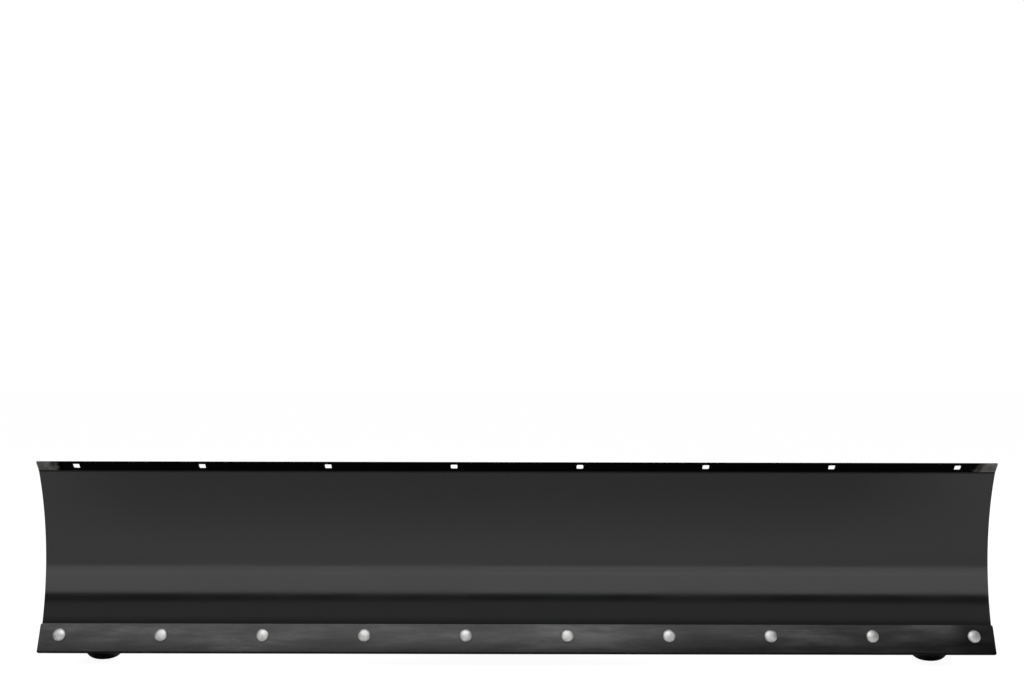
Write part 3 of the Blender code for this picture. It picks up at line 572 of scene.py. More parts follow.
def stack(levels, count, hollow=False):
    """Lofts rings of (size, height) about Z; a third item gives flats, and size 0 closes."""
    solid = bmesh.new()
    rings = []
    for size, height, *sector in levels:
        if size == 0:
            rings.append([solid.verts.new((0.0, 0.0, height))])
            continue
        ring = []
        for index in range(count):
            angle = 2 * math.pi * index / count
            radius = ring_radius(size, angle, *sector)
            point = (radius * math.cos(angle), radius * math.sin(angle), height)
            ring.append(solid.verts.new(point))
        rings.append(ring)
    if hollow:
        rings.append(rings[0])
    join_rings(solid, rings)
    return solid


def ring_radius(size, angle, sector=0.0):
    """Radius of a round ring, or of one with flats a sector apart; size is half its width."""
    if not sector:
        return size
    return size / math.cos((angle + sector / 2) % sector - sector / 2)


def drill(radius, reach, *sector):
    """Levels of a straight cutter that reaches as far both ways."""
    return (
        (0, -reach, *sector), (radius, -reach, *sector),
        (radius, reach, *sector), (0, reach, *sector),
    )


def aim(solid, centre, direction):
    """Turns a solid made about Z to a direction and moves it to its centre."""
    turn = AXIS_Z.rotation_difference(Vector(direction).normalized()).to_matrix()
    bmesh.ops.rotate(solid, cent=(0.0, 0.0, 0.0), matrix=turn, verts=solid.verts)
    bmesh.ops.translate(solid, vec=Vector(centre), verts=solid.verts)
    return solid


def merge_solids(solids):
    """Puts several solids into one bmesh."""
    merged = bmesh.new()
    for solid in solids:
        bmesh.ops.recalc_face_normals(solid, faces=solid.faces)
        scrap = to_mesh("scrap", solid)
        merged.from_mesh(scrap)
        bpy.data.meshes.remove(scrap)
    return merged


def heading(path, index):
    """Direction of a path at one of its points."""
    return (path[min(index + 1, len(path) - 1)] - path[max(index - 1, 0)]).normalized()


def sweep(path, radius_at, count=8):
    """Round wire along any path; radius_at(index) gives the wire's radius there."""
    solid = bmesh.new()
    rings = []
    side = heading(path, 0).orthogonal().normalized()
    for index, point in enumerate(path):
        forward = heading(path, index)
        side = (side - forward * side.dot(forward)).normalized()
        up = forward.cross(side)
        ring = []
        for step in range(count):
            angle = 2 * math.pi * step / count
            offset = side * math.cos(angle) + up * math.sin(angle)
            ring.append(solid.verts.new(point + offset * radius_at(index)))
        rings.append(ring)
    join_rings(solid, rings)
    solid.faces.new(rings[0])
    solid.faces.new(rings[-1])
    return solid


def spread(count, pitch):
    """Places of equally spaced pieces about the middle."""
    return [(index - (count - 1) / 2) * pitch for index in range(count)]


# --- the sheet's side view, as the frame has it ---


def along_edge(distance):
    """Offset in (y, z) down the straight lower flange."""
    return Vector((-math.sin(EDGE_LEAN), -math.cos(EDGE_LEAN))) * distance


def out_of_edge(distance):
    """Offset in (y, z) out of the front of the lower flange."""
    return Vector((-math.cos(EDGE_LEAN), math.sin(EDGE_LEAN))) * distance


def bend_point():
    """Place of the bend above the wear bar, found from the sheet's box."""
    rise = CURVE_RADIUS * (math.sin(CURVE_FOOT_LEAN) + math.sin(CURVE_TOP_LEAN))
    back = CURVE_RADIUS * (math.cos(CURVE_TOP_LEAN) - math.cos(CURVE_FOOT_LEAN))
    tip = Vector((back - LIP_LENGTH * math.sin(LIP_LEAN), rise + LIP_LENGTH * math.cos(LIP_LEAN)))
    top = high("moldboard").z - SHEET * math.sin(LIP_LEAN)
    return Vector((FRONT - tip.x, top - tip.y))


BEND = bend_point()
CURVE_CENTRE = BEND + CURVE_RADIUS * Vector((-math.cos(CURVE_FOOT_LEAN), math.sin(CURVE_FOOT_LEAN)))
EDGE_NORMAL = Vector((0.0, -math.cos(EDGE_LEAN), math.sin(EDGE_LEAN)))


def curve_at(lean, radius):
    """Point of the curve where the sheet leans by an angle; positive leans its foot forward."""
    return CURVE_CENTRE + radius * Vector((math.cos(lean), -math.sin(lean)))


def soften(before, corner, after, reach, steps):
    """Rounds a corner between two points with a parabola."""
    start = corner + (before - corner).normalized() * reach
    end = corner + (after - corner).normalized() * reach
    points = []
    for index in range(steps + 1):
        t = index / steps
        points.append(start * (1 - t) ** 2 + corner * 2 * t * (1 - t) + end * t * t)
    return points


def front_path():
    """Front face of the sheet from the flange's foot to the lip's tip, and where the lip begins."""
    flange = BAR_BELOW_BEND + BAR_HEIGHT - FLANGE_ABOVE_BAR_FOOT
    foot = BEND + along_edge(flange)
    curve = []
    for index in range(CURVE_STEPS + 1):
        lean = CURVE_FOOT_LEAN - (CURVE_FOOT_LEAN + CURVE_TOP_LEAN) * index / CURVE_STEPS
        curve.append(curve_at(lean, CURVE_RADIUS))
    tip = curve[-1] + Vector((-math.sin(LIP_LEAN), math.cos(LIP_LEAN))) * LIP_LENGTH
    lower = soften(foot, curve[0], curve[1], FLANGE_SOFTENING, 4)
    upper = soften(curve[-2], curve[-1], tip, LIP_SOFTENING, 5)
    path = [foot, *lower, *curve[2:-1], *upper]
    return path + [tip], len(path) - 3


def offset_path(path, distance):
    """The same path moved backward along its own normals."""
    moved = []
    for index, point in enumerate(path):
        forward = heading(path, index)
        moved.append(point + Vector((forward.y, -forward.x)) * distance)
    return moved


def bolt_place(centre_x, depth):
    """Point on a wear bar bolt's axis, at a depth below the bar's front face."""
    down = along_edge(BAR_BELOW_BEND + BOLT_BELOW_BAR_TOP)
    point = BEND + down + out_of_edge(GAP + BAR_THICK - depth)
    return Vector((centre_x, point.x, point.y))


# --- pieces ---


def make_moldboard():
    """Rolled sheet, glossy in front, with painted shade in flat black on the lip's inside and a
    duller back.
    """
    path, lip_start = front_path()
    outline = [*path, *reversed(offset_path(path, SHEET))]

    def strip_material(index):
        if index >= len(path):
            return 2
        return 1 if index >= lip_start else 0

    ends = [[(x, point.x, point.y) for point in outline] for x in (-HALF_WIDTH, HALF_WIDTH)]
    solid = prism(ends, strip_material)
    sheet = add_piece("moldboard_skin", solid, COAT, None, smooth_angle=SHEET_SHARP)
    # Slot 1 holds the lip's painted shade, a flat black that stands in for the shadowed ground the
    # lip mirrors.
    sheet.data.materials.append(LIP_PAINTED_SHADE)
    sheet.data.materials.append(FRAME_COAT)
    cutters = [flap_hole_cutter(place) for place in spread(FLAP_HOLE_COUNT, FLAP_HOLE_PITCH)]
    hole = drill(BOLT_SHANK_RADIUS + BOLT_HOLE_PLAY, 2 * SHEET)
    for place in spread(BOLT_COUNT, BOLT_PITCH):
        centre = bolt_place(place, BAR_THICK + SHEET / 2)
        cutters.append(aim(stack(hole, 24), centre, EDGE_NORMAL))
    cut_with(sheet, cutters, SHEET_SHARP)
    settle(sheet, SHEET_BEVEL, "moldboard")


def flap_hole_cutter(centre_x):
    """Square cutter with rounded corners, standing out of the lip."""
    inset = FLAP_HOLE_SIZE / 2 - FLAP_HOLE_CORNER
    outline = []
    for corner, (x, y) in enumerate(((1, 1), (-1, 1), (-1, -1), (1, -1))):
        for index in range(CORNER_STEPS + 1):
            angle = math.pi / 2 * (corner + index / CORNER_STEPS)
            across = x * inset + FLAP_HOLE_CORNER * math.cos(angle)
            outline.append((across, y * inset + FLAP_HOLE_CORNER * math.sin(angle)))
    solid = prism([[(x, y, level) for x, y in outline] for level in (-2 * SHEET, 2 * SHEET)])
    root = curve_at(-CURVE_TOP_LEAN, CURVE_RADIUS)
    centre = root + Vector((-math.sin(LIP_LEAN), math.cos(LIP_LEAN))) * LIP_LENGTH / 2
    normal = (0.0, -math.cos(LIP_LEAN), -math.sin(LIP_LEAN))
    return aim(solid, (centre_x, centre.x, centre.y), normal)


def make_wear_bar():
    """Flat bar with rounded ends and square bolt holes."""
    top = BEND + along_edge(BAR_BELOW_BEND) + out_of_edge(GAP)
    foot = top + along_edge(BAR_HEIGHT)
    corners = []
    for x, y, first in (
        (HALF_WIDTH, 0.0, 0.0),
        (HALF_WIDTH, BAR_HEIGHT, 90.0),
        (-HALF_WIDTH, BAR_HEIGHT, 180.0),
        (-HALF_WIDTH, 0.0, 270.0),
    ):
        radius = BAR_CORNER if y == BAR_HEIGHT else BAR_CORNER / 2
        centre_x = x - math.copysign(radius, x)
        centre_y = y - radius if y else radius
        for index in range(CORNER_STEPS + 1):
            angle = math.radians(first - 90.0 + 90.0 * index / CORNER_STEPS)
            across = centre_x + radius * math.cos(angle)
            corners.append((across, centre_y + radius * math.sin(angle)))
    faces = []
    for depth in (0.0, BAR_THICK):
        points = [(x, foot - along_edge(y) + out_of_edge(depth)) for x, y in corners]
        faces.append([(x, point.x, point.y) for x, point in points])
    bar = add_piece("wear_bar_edge", prism(faces), WEAR_WITH_PAINTED_SHADE, None)
    hole = drill(BOLT_NECK_HALF + GAP, BAR_THICK, SQUARE)
    cutters = []
    for place in spread(BOLT_COUNT, BOLT_PITCH):
        cutters.append(aim(stack(hole, 8), bolt_place(place, BAR_THICK / 2), EDGE_NORMAL))
    cut_with(bar, cutters, BAR_SHARP)
    settle(bar, BAR_BEVEL, "wear_bar")


def threaded_levels(radius, start, end, pitch=0.0015, depth=0.0006):
    """Rings of a ridged shank between two heights."""
    levels = []
    height = start
    ridge = True
    while height < end:
        levels.append((radius if ridge else radius - depth, height))
        height += pitch / 2
        ridge = not ridge
    levels.append((radius, end))
    return levels


def make_fasteners():
    """Carriage bolts with domed heads, and chamfered nuts behind."""
    head = BOLT_HEAD_RADIUS
    rise = BOLT_HEAD_HEIGHT
    levels = [(0, -BOLT_LENGTH), (BOLT_SHANK_RADIUS - 0.0008, -BOLT_LENGTH)]
    levels += threaded_levels(BOLT_SHANK_RADIUS, -BOLT_LENGTH + 0.001, -BAR_THICK)
    levels += [(BOLT_NECK_HALF, -BAR_THICK, SQUARE), (BOLT_NECK_HALF, GAP, SQUARE)]
    levels += [(head - 0.0004, GAP), (head, GAP + 0.0005)]
    dome_steps = 12
    for index in range(1, dome_steps + 1):
        t = math.pi / 2 * index / dome_steps
        size = 0 if index == dome_steps else head * math.cos(t)
        levels.append((size, BOLT_RIM + (rise - BOLT_RIM) * math.sin(t)))
    nut = (
        (NUT_HALF_FLATS - 0.0005, 0.0, HEX), (NUT_HALF_FLATS, 0.0006, HEX),
        (NUT_HALF_FLATS, NUT_HEIGHT - 0.0008, HEX), (NUT_HALF_FLATS - 0.0004, NUT_HEIGHT),
        (BOLT_SHANK_RADIUS + 0.0010, NUT_HEIGHT),
        (BOLT_SHANK_RADIUS + 0.0002, NUT_HEIGHT - 0.0008), (BOLT_SHANK_RADIUS + 0.0002, 0.0),
    )
    nut_depth = BAR_THICK + SHEET + 2 * GAP
    for index, place in enumerate(spread(BOLT_COUNT, BOLT_PITCH), 1):
        label = f"wear_bar_bolt_{index:02d}"
        solid = aim(stack(levels, 48), bolt_place(place, 0.0), EDGE_NORMAL)
        stand_in(label, solid, 40.0, BOLT_ZINC)
        label = f"wear_bar_nut_{index:02d}"
        solid = aim(stack(nut, 36, hollow=True), bolt_place(place, nut_depth), -EDGE_NORMAL)
        stand_in(label, solid, 30.0)


def refine(node, width=PLATE_BEVEL):
    """Rounds the edges of a CAD plate or tube in a copy that stands for it."""
    solid = bmesh.new()
    solid.from_mesh(frame["nodes"][node].data)
    bmesh.ops.remove_doubles(solid, verts=solid.verts, dist=0.00001)
    angle = math.radians(1.0)
    bmesh.ops.dissolve_limit(solid, angle_limit=angle, verts=solid.verts, edges=solid.edges)
    body = BODY_OF[node]
    add_piece(node + "_finish", solid, FRAME_COAT, body, (node,), 32.0, width)


def stand_in(node, solid, sharp_angle=35.0, material=None):
    """Piece that stands for the CAD node of its name, of zinc plate unless told otherwise."""
    name = node + "_fine"
    return add_piece(name, solid, material or ZINC, BODY_OF[node], (node,), sharp_angle)


def quarter(start, size, drop, rise, steps):
    """Levels that round an edge inward or outward over a quarter of an ellipse."""
    levels = []
    for index in range(steps + 1):
        t = math.pi / 2 * index / steps
        levels.append((size + drop * math.sin(t), start + rise * (1 - math.cos(t))))
    return levels


def make_shoe(side):
    """Cast dish on a stem, with spacer rings under its guide and a spare pin hole."""
    node = f"skid_shoe_{side}"
    centre = middle(node)
    rim = half_width(node)
    top = high(node).z
    rim_top = SHOE_RIM_Z + SHOE_RIM_THICK
    levels = [(0, 0.0)]
    levels += quarter(0.0, SHOE_FLAT, rim - SHOE_FLAT, SHOE_RIM_Z, 16)
    levels += [
        (rim, rim_top - 0.0020), (rim - 0.0006, rim_top - 0.0006), (rim - 0.0020, rim_top),
    ]
    inside = rim - SHOE_DISH_INSET
    levels += quarter(rim_top, inside, COLLAR_RADIUS - inside, SHOE_DISH_RISE, 8)[1:]
    ring_low = rim_top + 0.0085
    ring_height = (SHOE_GUIDE_LOW - GAP - ring_low) / COLLAR_RINGS
    for index in range(COLLAR_RINGS):
        foot = ring_low + ring_height * index
        levels += [
            (COLLAR_RADIUS - 0.0012, foot), (COLLAR_RADIUS - 0.0012, foot + 0.0003),
            (COLLAR_RADIUS, foot + 0.0010), (COLLAR_RADIUS, foot + ring_height - 0.0007),
            (COLLAR_RADIUS - 0.0007, foot + ring_height),
        ]
    levels += [
        (STEM_RADIUS, SHOE_GUIDE_LOW - GAP), (STEM_RADIUS, top - 0.0020),
        (STEM_RADIUS - 0.0020, top), (0, top),
    ]
    solid = aim(stack(levels, 64), (centre.x, centre.y, 0.0), AXIS_Z)
    shoe = stand_in(node, solid, material=CAST)
    pin = middle(f"shoe_clip_pin_{side}")
    bore = drill(CLIP_RADIUS + GAP, BORE_REACH)
    spare = (pin.x, pin.y, pin.z + SPARE_HOLE_RISE)
    cut_with(shoe, [aim(stack(bore, 24), spot, AXIS_X) for spot in (pin, spare)], 35.0)


def make_clip_pin(side):
    """Clip pin with a rounded nose and a domed head."""
    node = f"shoe_clip_pin_{side}"
    half = half_width(node)
    levels = [(0, -half)]
    for step in range(1, 6):
        turn = step * 0.3
        levels.append((CLIP_RADIUS * math.sin(turn), -half + 0.002 * (1 - math.cos(turn))))
    levels += [
        (CLIP_RADIUS, half - CLIP_HEAD_THICK), (CLIP_HEAD - 0.0006, half - CLIP_HEAD_THICK),
        (CLIP_HEAD, half - 0.0034), (CLIP_HEAD, half - 0.0016),
        (CLIP_HEAD * 0.82, half - 0.0004), (CLIP_HEAD * 0.45, half), (0, half),
    ]
    stand_in(node, aim(stack(levels, 32), middle(node), AXIS_X))


def make_king_pin():
    """Pivot bolt with a chamfered head and a threaded end, and its lock nut."""
    foot = low("king_pin").z
    head = high("king_pin").z - KING_HEAD
    nut_top = high("king_pin_nut").z
    nut_low = low("king_pin_nut").z
    levels = [(0, foot), (KING_RADIUS - 0.0018, foot)]
    levels += threaded_levels(KING_RADIUS, foot + 0.0015, nut_top, 0.0022, 0.0009)
    levels += [
        (KING_RADIUS, head), (HEX_HALF - 0.0004, head), (HEX_HALF - 0.0004, head + 0.0006),
        (HEX_HALF, head + 0.0007, HEX), (HEX_HALF, head + KING_HEAD - 0.0016, HEX),
        (HEX_HALF - 0.0006, head + KING_HEAD - 0.0001), (HEX_HALF - 0.0030, head + KING_HEAD),
        (0, head + KING_HEAD),
    ]
    axis = middle("king_pin")
    place = (axis.x, axis.y, 0.0)
    stand_in("king_pin", aim(stack(levels, 48), place, AXIS_Z))
    bore = KING_RADIUS + GAP
    nut = (
        (bore, nut_low), (bore + 0.0015, nut_low), (HEX_HALF - 0.0028, nut_low + 0.0012),
        (HEX_HALF - 0.0026, nut_low + 0.0036), (HEX_HALF - 0.0006, nut_low + 0.0038),
        (HEX_HALF, nut_low + 0.0052, HEX), (HEX_HALF, nut_top - 0.0012, HEX),
        (HEX_HALF - 0.0005, nut_top), (bore, nut_top),
    )
    solid = aim(stack(nut, 48, hollow=True), place, AXIS_Z)
    stand_in("king_pin_nut", solid, 30.0)


def make_drop_pin():
    """Tapered lock pin with a T handle."""
    foot = low("drop_pin").z
    top = high("drop_pin").z
    centre = middle("drop_pin")
    grip_half = half_width("drop_pin")
    levels = [
        (0, foot), (LOCK_RADIUS - 0.0028, foot), (LOCK_RADIUS - 0.0020, foot + 0.0004),
        (LOCK_RADIUS, foot + LOCK_NOSE), (LOCK_RADIUS, top - LOCK_NOSE),
    ]
    for step in range(1, 6):
        turn = math.pi / 12 * step
        levels.append((LOCK_RADIUS * math.cos(turn), top - LOCK_NOSE * (1 - math.sin(turn))))
    levels.append((0, top))
    grip = [(0, -grip_half), (GRIP_RADIUS * 0.7, -grip_half)]
    grip.append((GRIP_RADIUS, -grip_half + 0.0014))
    for ring in (-1, 1):
        for index in range(6):
            place = ring * GRIP_RINGS_OUT + (index - 2.5) * GRIP_RING_PITCH
            grip.append((GRIP_RADIUS, place - 0.0008))
            grip.append((GRIP_RADIUS - 0.0005, place))
            grip.append((GRIP_RADIUS, place + 0.0008))
    grip += [
        (GRIP_RADIUS, grip_half - 0.0014), (GRIP_RADIUS * 0.7, grip_half), (0, grip_half),
    ]
    shank = aim(stack(levels, 40), (centre.x, centre.y, 0.0), AXIS_Z)
    handle = aim(stack(grip, 32), (centre.x, centre.y, top - GRIP_BELOW_TOP), AXIS_X)
    stand_in("drop_pin", merge_solids([shank, handle]))


def make_shackle():
    """Forged bow with eyes round its headed cross pin."""
    joints = frame["record"]["behaviour"]["joints"]
    centre = Vector(next(joint["pos_m"] for joint in joints if joint["name"] == "shackle_swing"))
    along = Vector((0.0, math.cos(SHACKLE_DROOP), math.sin(SHACKLE_DROOP)))
    first_leg = centre + AXIS_X * SHACKLE_HALF_GAP
    path = [first_leg + along * reach * SHACKLE_LEG / 8 for reach in range(9)]
    for index in range(1, 24):
        angle = math.pi * index / 24
        across = AXIS_X * SHACKLE_HALF_GAP * math.cos(angle)
        path.append(centre + across + along * (SHACKLE_LEG + SHACKLE_HALF_GAP * math.sin(angle)))
    last_leg = centre - AXIS_X * SHACKLE_HALF_GAP
    path += [last_leg + along * reach * SHACKLE_LEG / 8 for reach in range(8, -1, -1)]
    solids = [sweep(path, lambda index: SHACKLE_WIRE, 20)]
    eye = (
        (0, -SHACKLE_WIRE), (0.0080, -SHACKLE_WIRE), (0.0092, -SHACKLE_WIRE + 0.0014),
        (0.0092, SHACKLE_WIRE - 0.0014), (0.0080, SHACKLE_WIRE), (0, SHACKLE_WIRE),
    )
    for sign in (-1, 1):
        solids.append(aim(stack(eye, 40), centre + AXIS_X * sign * SHACKLE_HALF_GAP, AXIS_X))
    half = half_width("lift_shackle")
    pin = (
        (0, -half), (SHACKLE_PIN_RADIUS - 0.0014, -half), (SHACKLE_PIN_RADIUS, -half + 0.0014),
        (SHACKLE_PIN_RADIUS, half - 0.0050), (0.0088, half - 0.0050), (0.0094, half - 0.0042),
        (0.0094, half - 0.0012), (0.0080, half), (0, half),
    )
    solids.append(aim(stack(pin, 40), centre, AXIS_X))
    clip_spot = centre - AXIS_X * (half - 0.0030)
    solids.append(hairpin(clip_spot, Vector((0.0, -1.0, 0.0))))
    stand_in("lift_shackle", merge_solids(solids), 38.0)


def smooth_path(points, steps):
    """Catmull-Rom curve through the points."""
    path = []
    for index in range(len(points) - 1):
        before = points[max(index - 1, 0)]
        start = points[index]
        end = points[index + 1]
        after = points[min(index + 2, len(points) - 1)]
        for step in range(steps):
            t = step / steps
            square = (2 * before - 5 * start + 4 * end - after) * t * t
            cube = (3 * start - before - 3 * end + after) * t**3
            path.append(0.5 * (2 * start + (end - before) * t + square + cube))
    return path + [points[-1]]


def hairpin(centre, outward):
    """Spring clip whose straight leg stands through a pin and whose other leg bows round it."""
    shape = (
        (0.0, -0.0120), (0.0, -0.0040), (0.0, 0.0050),
        (0.0, 0.0125), (0.0028, 0.0168), (0.0072, 0.0160),
        (0.0082, 0.0115), (0.0060, 0.0060), (0.0083, 0.0),
        (0.0062, -0.0055), (0.0080, -0.0100),
    )
    points = [centre + outward * out + AXIS_Z * up for out, up in shape]
    return sweep(smooth_path(points, 6), lambda index: HAIRPIN_WIRE, 8)


def make_trip_pin(side, sign):
    """Headed hinge pin with a hairpin clip through its tail."""
    node = f"trip_pin_{side}"
    centre = middle(node)
    half = half_width(node)
    pin = (
        (0, -half), (TRIP_PIN_RADIUS - 0.0015, -half), (TRIP_PIN_RADIUS, -half + 0.0020),
        (TRIP_PIN_RADIUS, half - TRIP_HEAD_THICK),
        (TRIP_PIN_HEAD - 0.0006, half - TRIP_HEAD_THICK), (TRIP_PIN_HEAD, half - 0.0040),
        (TRIP_PIN_HEAD, half - 0.0014), (TRIP_PIN_HEAD - 0.0014, half - 0.0002),
        (TRIP_PIN_HEAD - 0.0040, half), (0, half),
    )
    outward = AXIS_X * sign
    solids = [aim(stack(pin, 40), centre, outward)]
    tail = centre - outward * (half - 0.0050)
    solids.append(hairpin(tail, Vector((0.0, 1.0, 0.0))))
    stand_in(node, merge_solids(solids))


def make_trip_spring(side, sign):
    """Close-wound extension spring hooked through both lugs."""
    low_end = Vector((sign * SPRING_X, FRONT + SPRING_LOW[0], SPRING_LOW[1]))
    high_end = Vector((sign * SPRING_X, FRONT + SPRING_HIGH[0], SPRING_HIGH[1]))
    axis = (high_end - low_end).normalized()
    depth_way = axis.cross(AXIS_X)
    radius = SPRING_RADIUS - SPRING_WIRE
    coil_low = low_end + axis * radius
    coil_length = (high_end - low_end).length - 2 * radius
    coil_high = coil_low + axis * coil_length
    turns = [HOOK_SWEEP * index / HOOK_STEPS for index in range(1, HOOK_STEPS + 1)]
    path = []
    for turn in reversed(turns):
        path.append(coil_low + (AXIS_X * math.cos(turn) - axis * math.sin(turn)) * radius)
    total = SPRING_TURNS * COIL_STEPS
    for index in range(total + 1):
        angle = 2 * math.pi * index / COIL_STEPS
        around = AXIS_X * math.cos(angle) + depth_way * math.sin(angle)
        path.append(coil_low + around * radius + axis * coil_length * index / total)
    for turn in turns:
        path.append(coil_high + (AXIS_X * math.cos(turn) + axis * math.sin(turn)) * radius)
    node = f"trip_spring_{side}"
    solid = sweep(path, lambda index: SPRING_WIRE, 10)
    spring = add_piece(node + "_fine", solid, ZINC, None, (node,), 45.0)
    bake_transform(spring)


def resample(points, step):
    """Evenly spaced points along a polyline."""
    path = []
    for start, end in zip(points, points[1:]):
        count = max(1, round((end - start).length / step))
        path += [start.lerp(end, index / count) for index in range(count)]
    return path + [points[-1]]


def bead(points):
    """Rippled weld bead along a polyline, tapered at both ends."""
    path = resample([Vector(point) for point in points], BEAD_STEP)
    last = len(path) - 1
    wave = 2 * math.pi * BEAD_STEP / BEAD_RIPPLE

    def radius_at(index):
        taper = min(1.0, 0.45 + 0.25 * min(index, last - index))
        return BEAD_RADIUS * taper * (0.88 + 0.12 * math.cos(index * wave))

    return sweep(path, radius_at, 8)


def beads_up(x, y, low_z, high_z, half_thick):
    """Upright beads on both sides of a plate that stands across X."""
    faces = (x - half_thick, x + half_thick)
    return [bead(((face, y, low_z), (face, y, high_z))) for face in faces]


def blade_beads():
    """Stitches between the sheet, its ribs, the rails and the small brackets."""
    solids = []
    half = RIB_THICK / 2 + BEAD_STANDOFF
    radius = CURVE_RADIUS + SHEET + 0.0004
    for side, _ in SIDES:
        for label in RIBS:
            node = f"{label}_{side}"
            place = middle(node).x
            back = high(node).y
            for stitch in range(4):
                start = STITCH_TOP - STITCH_PITCH * stitch
                leans = [math.radians(start - STITCH_STEP * step) for step in range(6)]
                for edge in (-half, half):
                    points = [curve_at(lean, radius) for lean in leans]
                    solids.append(bead([(place + edge, point.x, point.y) for point in points]))
            for rail in ("bottom_rail", "top_rail"):
                if abs(place) < high(rail).x:
                    ends = (low(rail).z + 0.004, high(rail).z - 0.004)
                    solids += beads_up(place, back, *ends, half)
        anchor = f"spring_anchor_{side}"
        ends = (low(anchor).z + 0.002, high(anchor).z - 0.002)
        solids += beads_up(middle(anchor).x, low(anchor).y, *ends, half_width(anchor))
    return solids


def swivel_beads():
    """Beads round the hinge ears, under the sector plate and at its lugs."""
    solids = []
    tube_top = low("sector_plate").z - GAP
    tube_front = high("swivel_frame").y - TUBE
    centre_z = tube_top - TUBE / 2
    plate_top = tube_top + GAP + SECTOR_PLATE_THICK
    lug_y = FRONT + SPRING_LOW[0]
    ears = (centre_z - EAR_BEAD_HALF, centre_z + EAR_BEAD_HALF)
    for _, sign in SIDES:
        solids += beads_up(sign * HINGE_X, tube_front, *ears, TRIP_EAR_HALF)
        for edge in (-SPRING_LUG_HALF, SPRING_LUG_HALF):
            x = sign * SPRING_X + edge
            front = (x, lug_y - SPRING_LUG_RADIUS, plate_top)
            solids.append(bead((front, (x, lug_y + SPRING_LUG_RADIUS, plate_top))))
    for stitch in range(-2, 3):
        x = stitch * TUBE_STITCH_PITCH
        for y in (low("sector_plate").y, high("swivel_frame").y):
            ends = (x - TUBE_STITCH_HALF, x + TUBE_STITCH_HALF)
            solids.append(bead([(end, y, tube_top) for end in ends]))
    return solids


def frame_beads():
    """Beads where the push tubes, hooks, bracket and pin guide meet the cross tubes and plates."""
    solids = []
    half = TUBE / 2
    reach = half - 0.002
    for side, _ in SIDES:
        push = f"push_tube_{side}"
        near = min(abs(low(push).x), abs(high(push).x)) + half
        far = max(abs(low(push).x), abs(high(push).x)) - half
        for tube, y, x in (
            ("front_cross_tube", high("front_cross_tube").y, near),
            ("rear_cross_tube", low("rear_cross_tube").y, far),
        ):
            x = math.copysign(x, middle(push).x)
            z = middle(tube).z
            solids += beads_up(x, y, z - reach, z + reach, half)
            for level in (z - half, z + half):
                solids.append(bead(((x - reach, y, level), (x + reach, y, level))))
        hook = f"rear_hook_{side}"
        ends = (low("rear_cross_tube").z + 0.003, high("rear_cross_tube").z - 0.003)
        solids += beads_up(middle(hook).x, low(hook).y, *ends, half_width(hook))
    start = low("lift_bracket")
    end = high("lift_bracket")
    for edge in (start.x, end.x):
        solids.append(bead(((edge, start.y + 0.003, start.z), (edge, end.y - 0.003, start.z))))
    guide = middle("drop_pin_guide")
    ring = []
    for index in range(41):
        angle = 2 * math.pi * index / 40
        x = guide.x + GUIDE_RADIUS * math.cos(angle)
        y = guide.y + GUIDE_RADIUS * math.sin(angle)
        ring.append((x, y, low("drop_pin_guide").z))
    solids.append(bead(ring))
    return solids


def make_welds():
    """One piece of weld beads for each welded body."""
    for name, body, solids in (
        ("blade_welds", "blade", blade_beads()),
        ("swivel_welds", "swivel", swivel_beads()),
        ("frame_welds", "push_frame", frame_beads()),
    ):
        add_piece(name, merge_solids(solids), WELD, body, (), 60.0)


def make_plugs():
    """Moulded plugs in the open ends of the tubes."""
    for node in CROSS_TUBES:
        half = (high(node).z - low(node).z) / 2 if "rail" in node else TUBE / 2
        centre = Vector((0.0, high(node).y - half, middle(node).z))
        inner = half - WALL - PLUG_PLAY
        levels = (
            (0, -PLUG_DEPTH, SQUARE), (inner - 0.0008, -PLUG_DEPTH, SQUARE),
            (inner, -0.010, SQUARE), (inner, 0.0, SQUARE), (half - PLUG_PLAY, 0.0, SQUARE),
            (half - PLUG_PLAY, 0.0010, SQUARE), (half - 0.0012, 0.0019, SQUARE),
            (half - 0.0030, 0.0025, SQUARE), (half - 0.0080, 0.0027, SQUARE),
            (half - 0.0086, 0.0021, SQUARE), (0, 0.0021, SQUARE),
        )
        for side, sign in SIDES:
            end = centre + AXIS_X * sign * high(node).x
            solid = aim(stack(levels, 32), end, AXIS_X * sign)
            name = f"{node}_plug_{side}"
            add_piece(name, solid, PLUG, BODY_OF[node], (), 28.0, PLUG_BEVEL)


def make_structure():
    """Plates and tubes with rounded edges."""
    for side, _ in SIDES:
        for label in (*RIBS, "spring_anchor", "shoe_bracket", "rear_hook"):
            refine(f"{label}_{side}")
        refine(f"push_tube_{side}", TUBE_BEVEL)
    for node in CROSS_TUBES:
        refine(node, TUBE_BEVEL)
    for node in ("sector_plate", "pivot_plate_top", "pivot_plate_bottom", "lift_bracket"):
        refine(node)
    refine("drop_pin_guide")


# --- scene ---


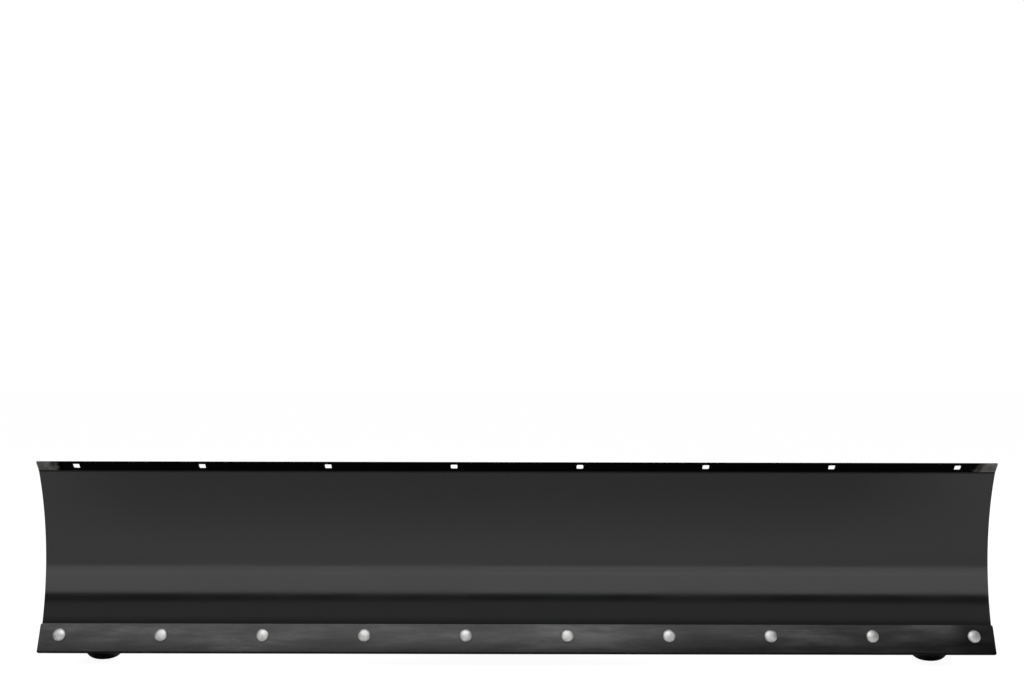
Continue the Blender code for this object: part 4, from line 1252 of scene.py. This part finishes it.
def make_floor():
    """Pale studio floor that looks almost white from the camera and keeps a faint shadow."""
    paint = Paint("studio_floor", 0.9, ior=1.3)
    paint.shader.inputs["Specular IOR Level"].default_value = 0.0
    tone = paint.noise(1.2, 2.0)
    paint.tint(tone, ((0.3, grey(0.80)), (0.7, grey(0.82))))
    tree = paint.tree
    glow = tree.nodes.new("ShaderNodeEmission")
    glow.inputs["Strength"].default_value = FLOOR_GLOW
    path = tree.nodes.new("ShaderNodeLightPath")
    share = paint.math("MULTIPLY", path.outputs["Is Camera Ray"], FLOOR_GLOW_SHARE)
    mix = tree.nodes.new("ShaderNodeMixShader")
    paint.link(share, mix.inputs["Fac"])
    paint.link(paint.shader.outputs["BSDF"], mix.inputs[1])
    paint.link(glow.outputs["Emission"], mix.inputs[2])
    paint.link(mix.outputs["Shader"], tree.nodes["Material Output"].inputs["Surface"])
    solid = bmesh.new()
    bmesh.ops.create_grid(solid, x_segments=8, y_segments=8, size=FLOOR_HALF)
    mesh = to_mesh("floor", solid)
    mesh.materials.append(paint.material)
    add_object("floor", mesh)


def make_world():
    """Soft studio surround: dim near the horizon, brighter overhead, and pale to the camera."""
    world = bpy.data.worlds.new("studio")
    bpy.context.scene.world = world
    world.use_nodes = True
    tree = world.node_tree
    back = tree.nodes["Background"]
    place = tree.nodes.new("ShaderNodeTexCoord")
    split = tree.nodes.new("ShaderNodeSeparateXYZ")
    rise = map_range(tree, SKY_RISE_START, SKY_RISE_END, SKY_LOW, SKY_HIGH)
    path = tree.nodes.new("ShaderNodeLightPath")
    seen = tree.nodes.new("ShaderNodeMix")
    seen.data_type = "FLOAT"
    seen.inputs["B"].default_value = 1.0
    tree.links.new(place.outputs["Generated"], split.inputs["Vector"])
    tree.links.new(split.outputs["Z"], rise.inputs["Value"])
    tree.links.new(path.outputs["Is Camera Ray"], seen.inputs["Factor"])
    tree.links.new(rise.outputs["Result"], seen.inputs["A"])
    tree.links.new(seen.outputs["Result"], back.inputs["Strength"])
    back.inputs["Color"].default_value = (1.0, 1.0, 1.0, 1.0)


def add_area(name, place, target, width, height, radiance):
    """Rectangular soft light of a given radiance, unseen by the camera."""
    light = bpy.data.lights.new(name, "AREA")
    light.shape = "RECTANGLE"
    light.size = width
    light.size_y = height
    light.energy = radiance * math.pi * width * height
    lamp = add_object(name, light)
    lamp.location = place
    lamp.rotation_euler = (Vector(target) - Vector(place)).to_track_quat("-Z", "Y").to_euler()
    lamp.visible_camera = False
    return lamp


def make_front_strip():
    """Wide light in two bands, one above the other, that the glossy curve mirrors."""
    for band_low, band_high, radiance in STRIP_BANDS:
        z = (band_low + band_high) / 2
        place = (0.0, STRIP_Y, z)
        height = band_high - band_low
        strip = add_area("front_strip", place, (0.0, 0.0, z), STRIP_WIDTH, height, radiance)
        strip.visible_diffuse = False


def make_camera():
    """Camera at hood height in front of the blade, looking level."""
    data = bpy.data.cameras.new("camera")
    data.lens = CAMERA_LENS
    data.shift_x = CAMERA_SHIFT_X
    data.shift_y = CAMERA_SHIFT_Y
    camera = add_object("camera", data)
    camera.location = (0.0, FRONT - CAMERA_DISTANCE, CAMERA_HEIGHT)
    camera.rotation_euler = (math.radians(90.0), CAMERA_ROLL, 0.0)
    bpy.context.scene.camera = camera


BODY_OF = {}
for body_name, members in frame["record"]["behaviour"]["bodies"].items():
    for member in members:
        BODY_OF[member] = body_name

# The coat's reflection carries painted shade above the wear bar and at the lip's crease.
COAT = powder_coat()
FRAME_COAT = frame_coat()
# The lip's material is painted shade, with painted reflections at its two ends.
LIP_PAINTED_SHADE = lip_painted_shade()
# The wear bar's material carries painted shade toward its right end and along its foot.
WEAR_WITH_PAINTED_SHADE = wear_steel()
CAST = cast_black()
ZINC = zinc_plate("zinc_plate", (0.62, 0.62, 0.60), (0.42, 0.42, 0.41), 0.32)
BOLT_ZINC = zinc_plate("bolt_zinc", (0.59, 0.59, 0.585), (0.38, 0.38, 0.375), 0.48)
WELD = weld_steel()
PLUG = plastic_cap()

make_moldboard()
make_wear_bar()
make_fasteners()
make_structure()
for shoe_side, shoe_sign in SIDES:
    make_shoe(shoe_side)
    make_clip_pin(shoe_side)
    make_trip_pin(shoe_side, shoe_sign)
    make_trip_spring(shoe_side, shoe_sign)
make_king_pin()
make_drop_pin()
make_shackle()
make_welds()
make_plugs()

make_camera()
make_floor()
make_world()
make_front_strip()
add_area("top_key", *TOP_KEY)
add_area("back_fill", *BACK_FILL)
bpy.context.scene.view_settings.view_transform = "Standard"
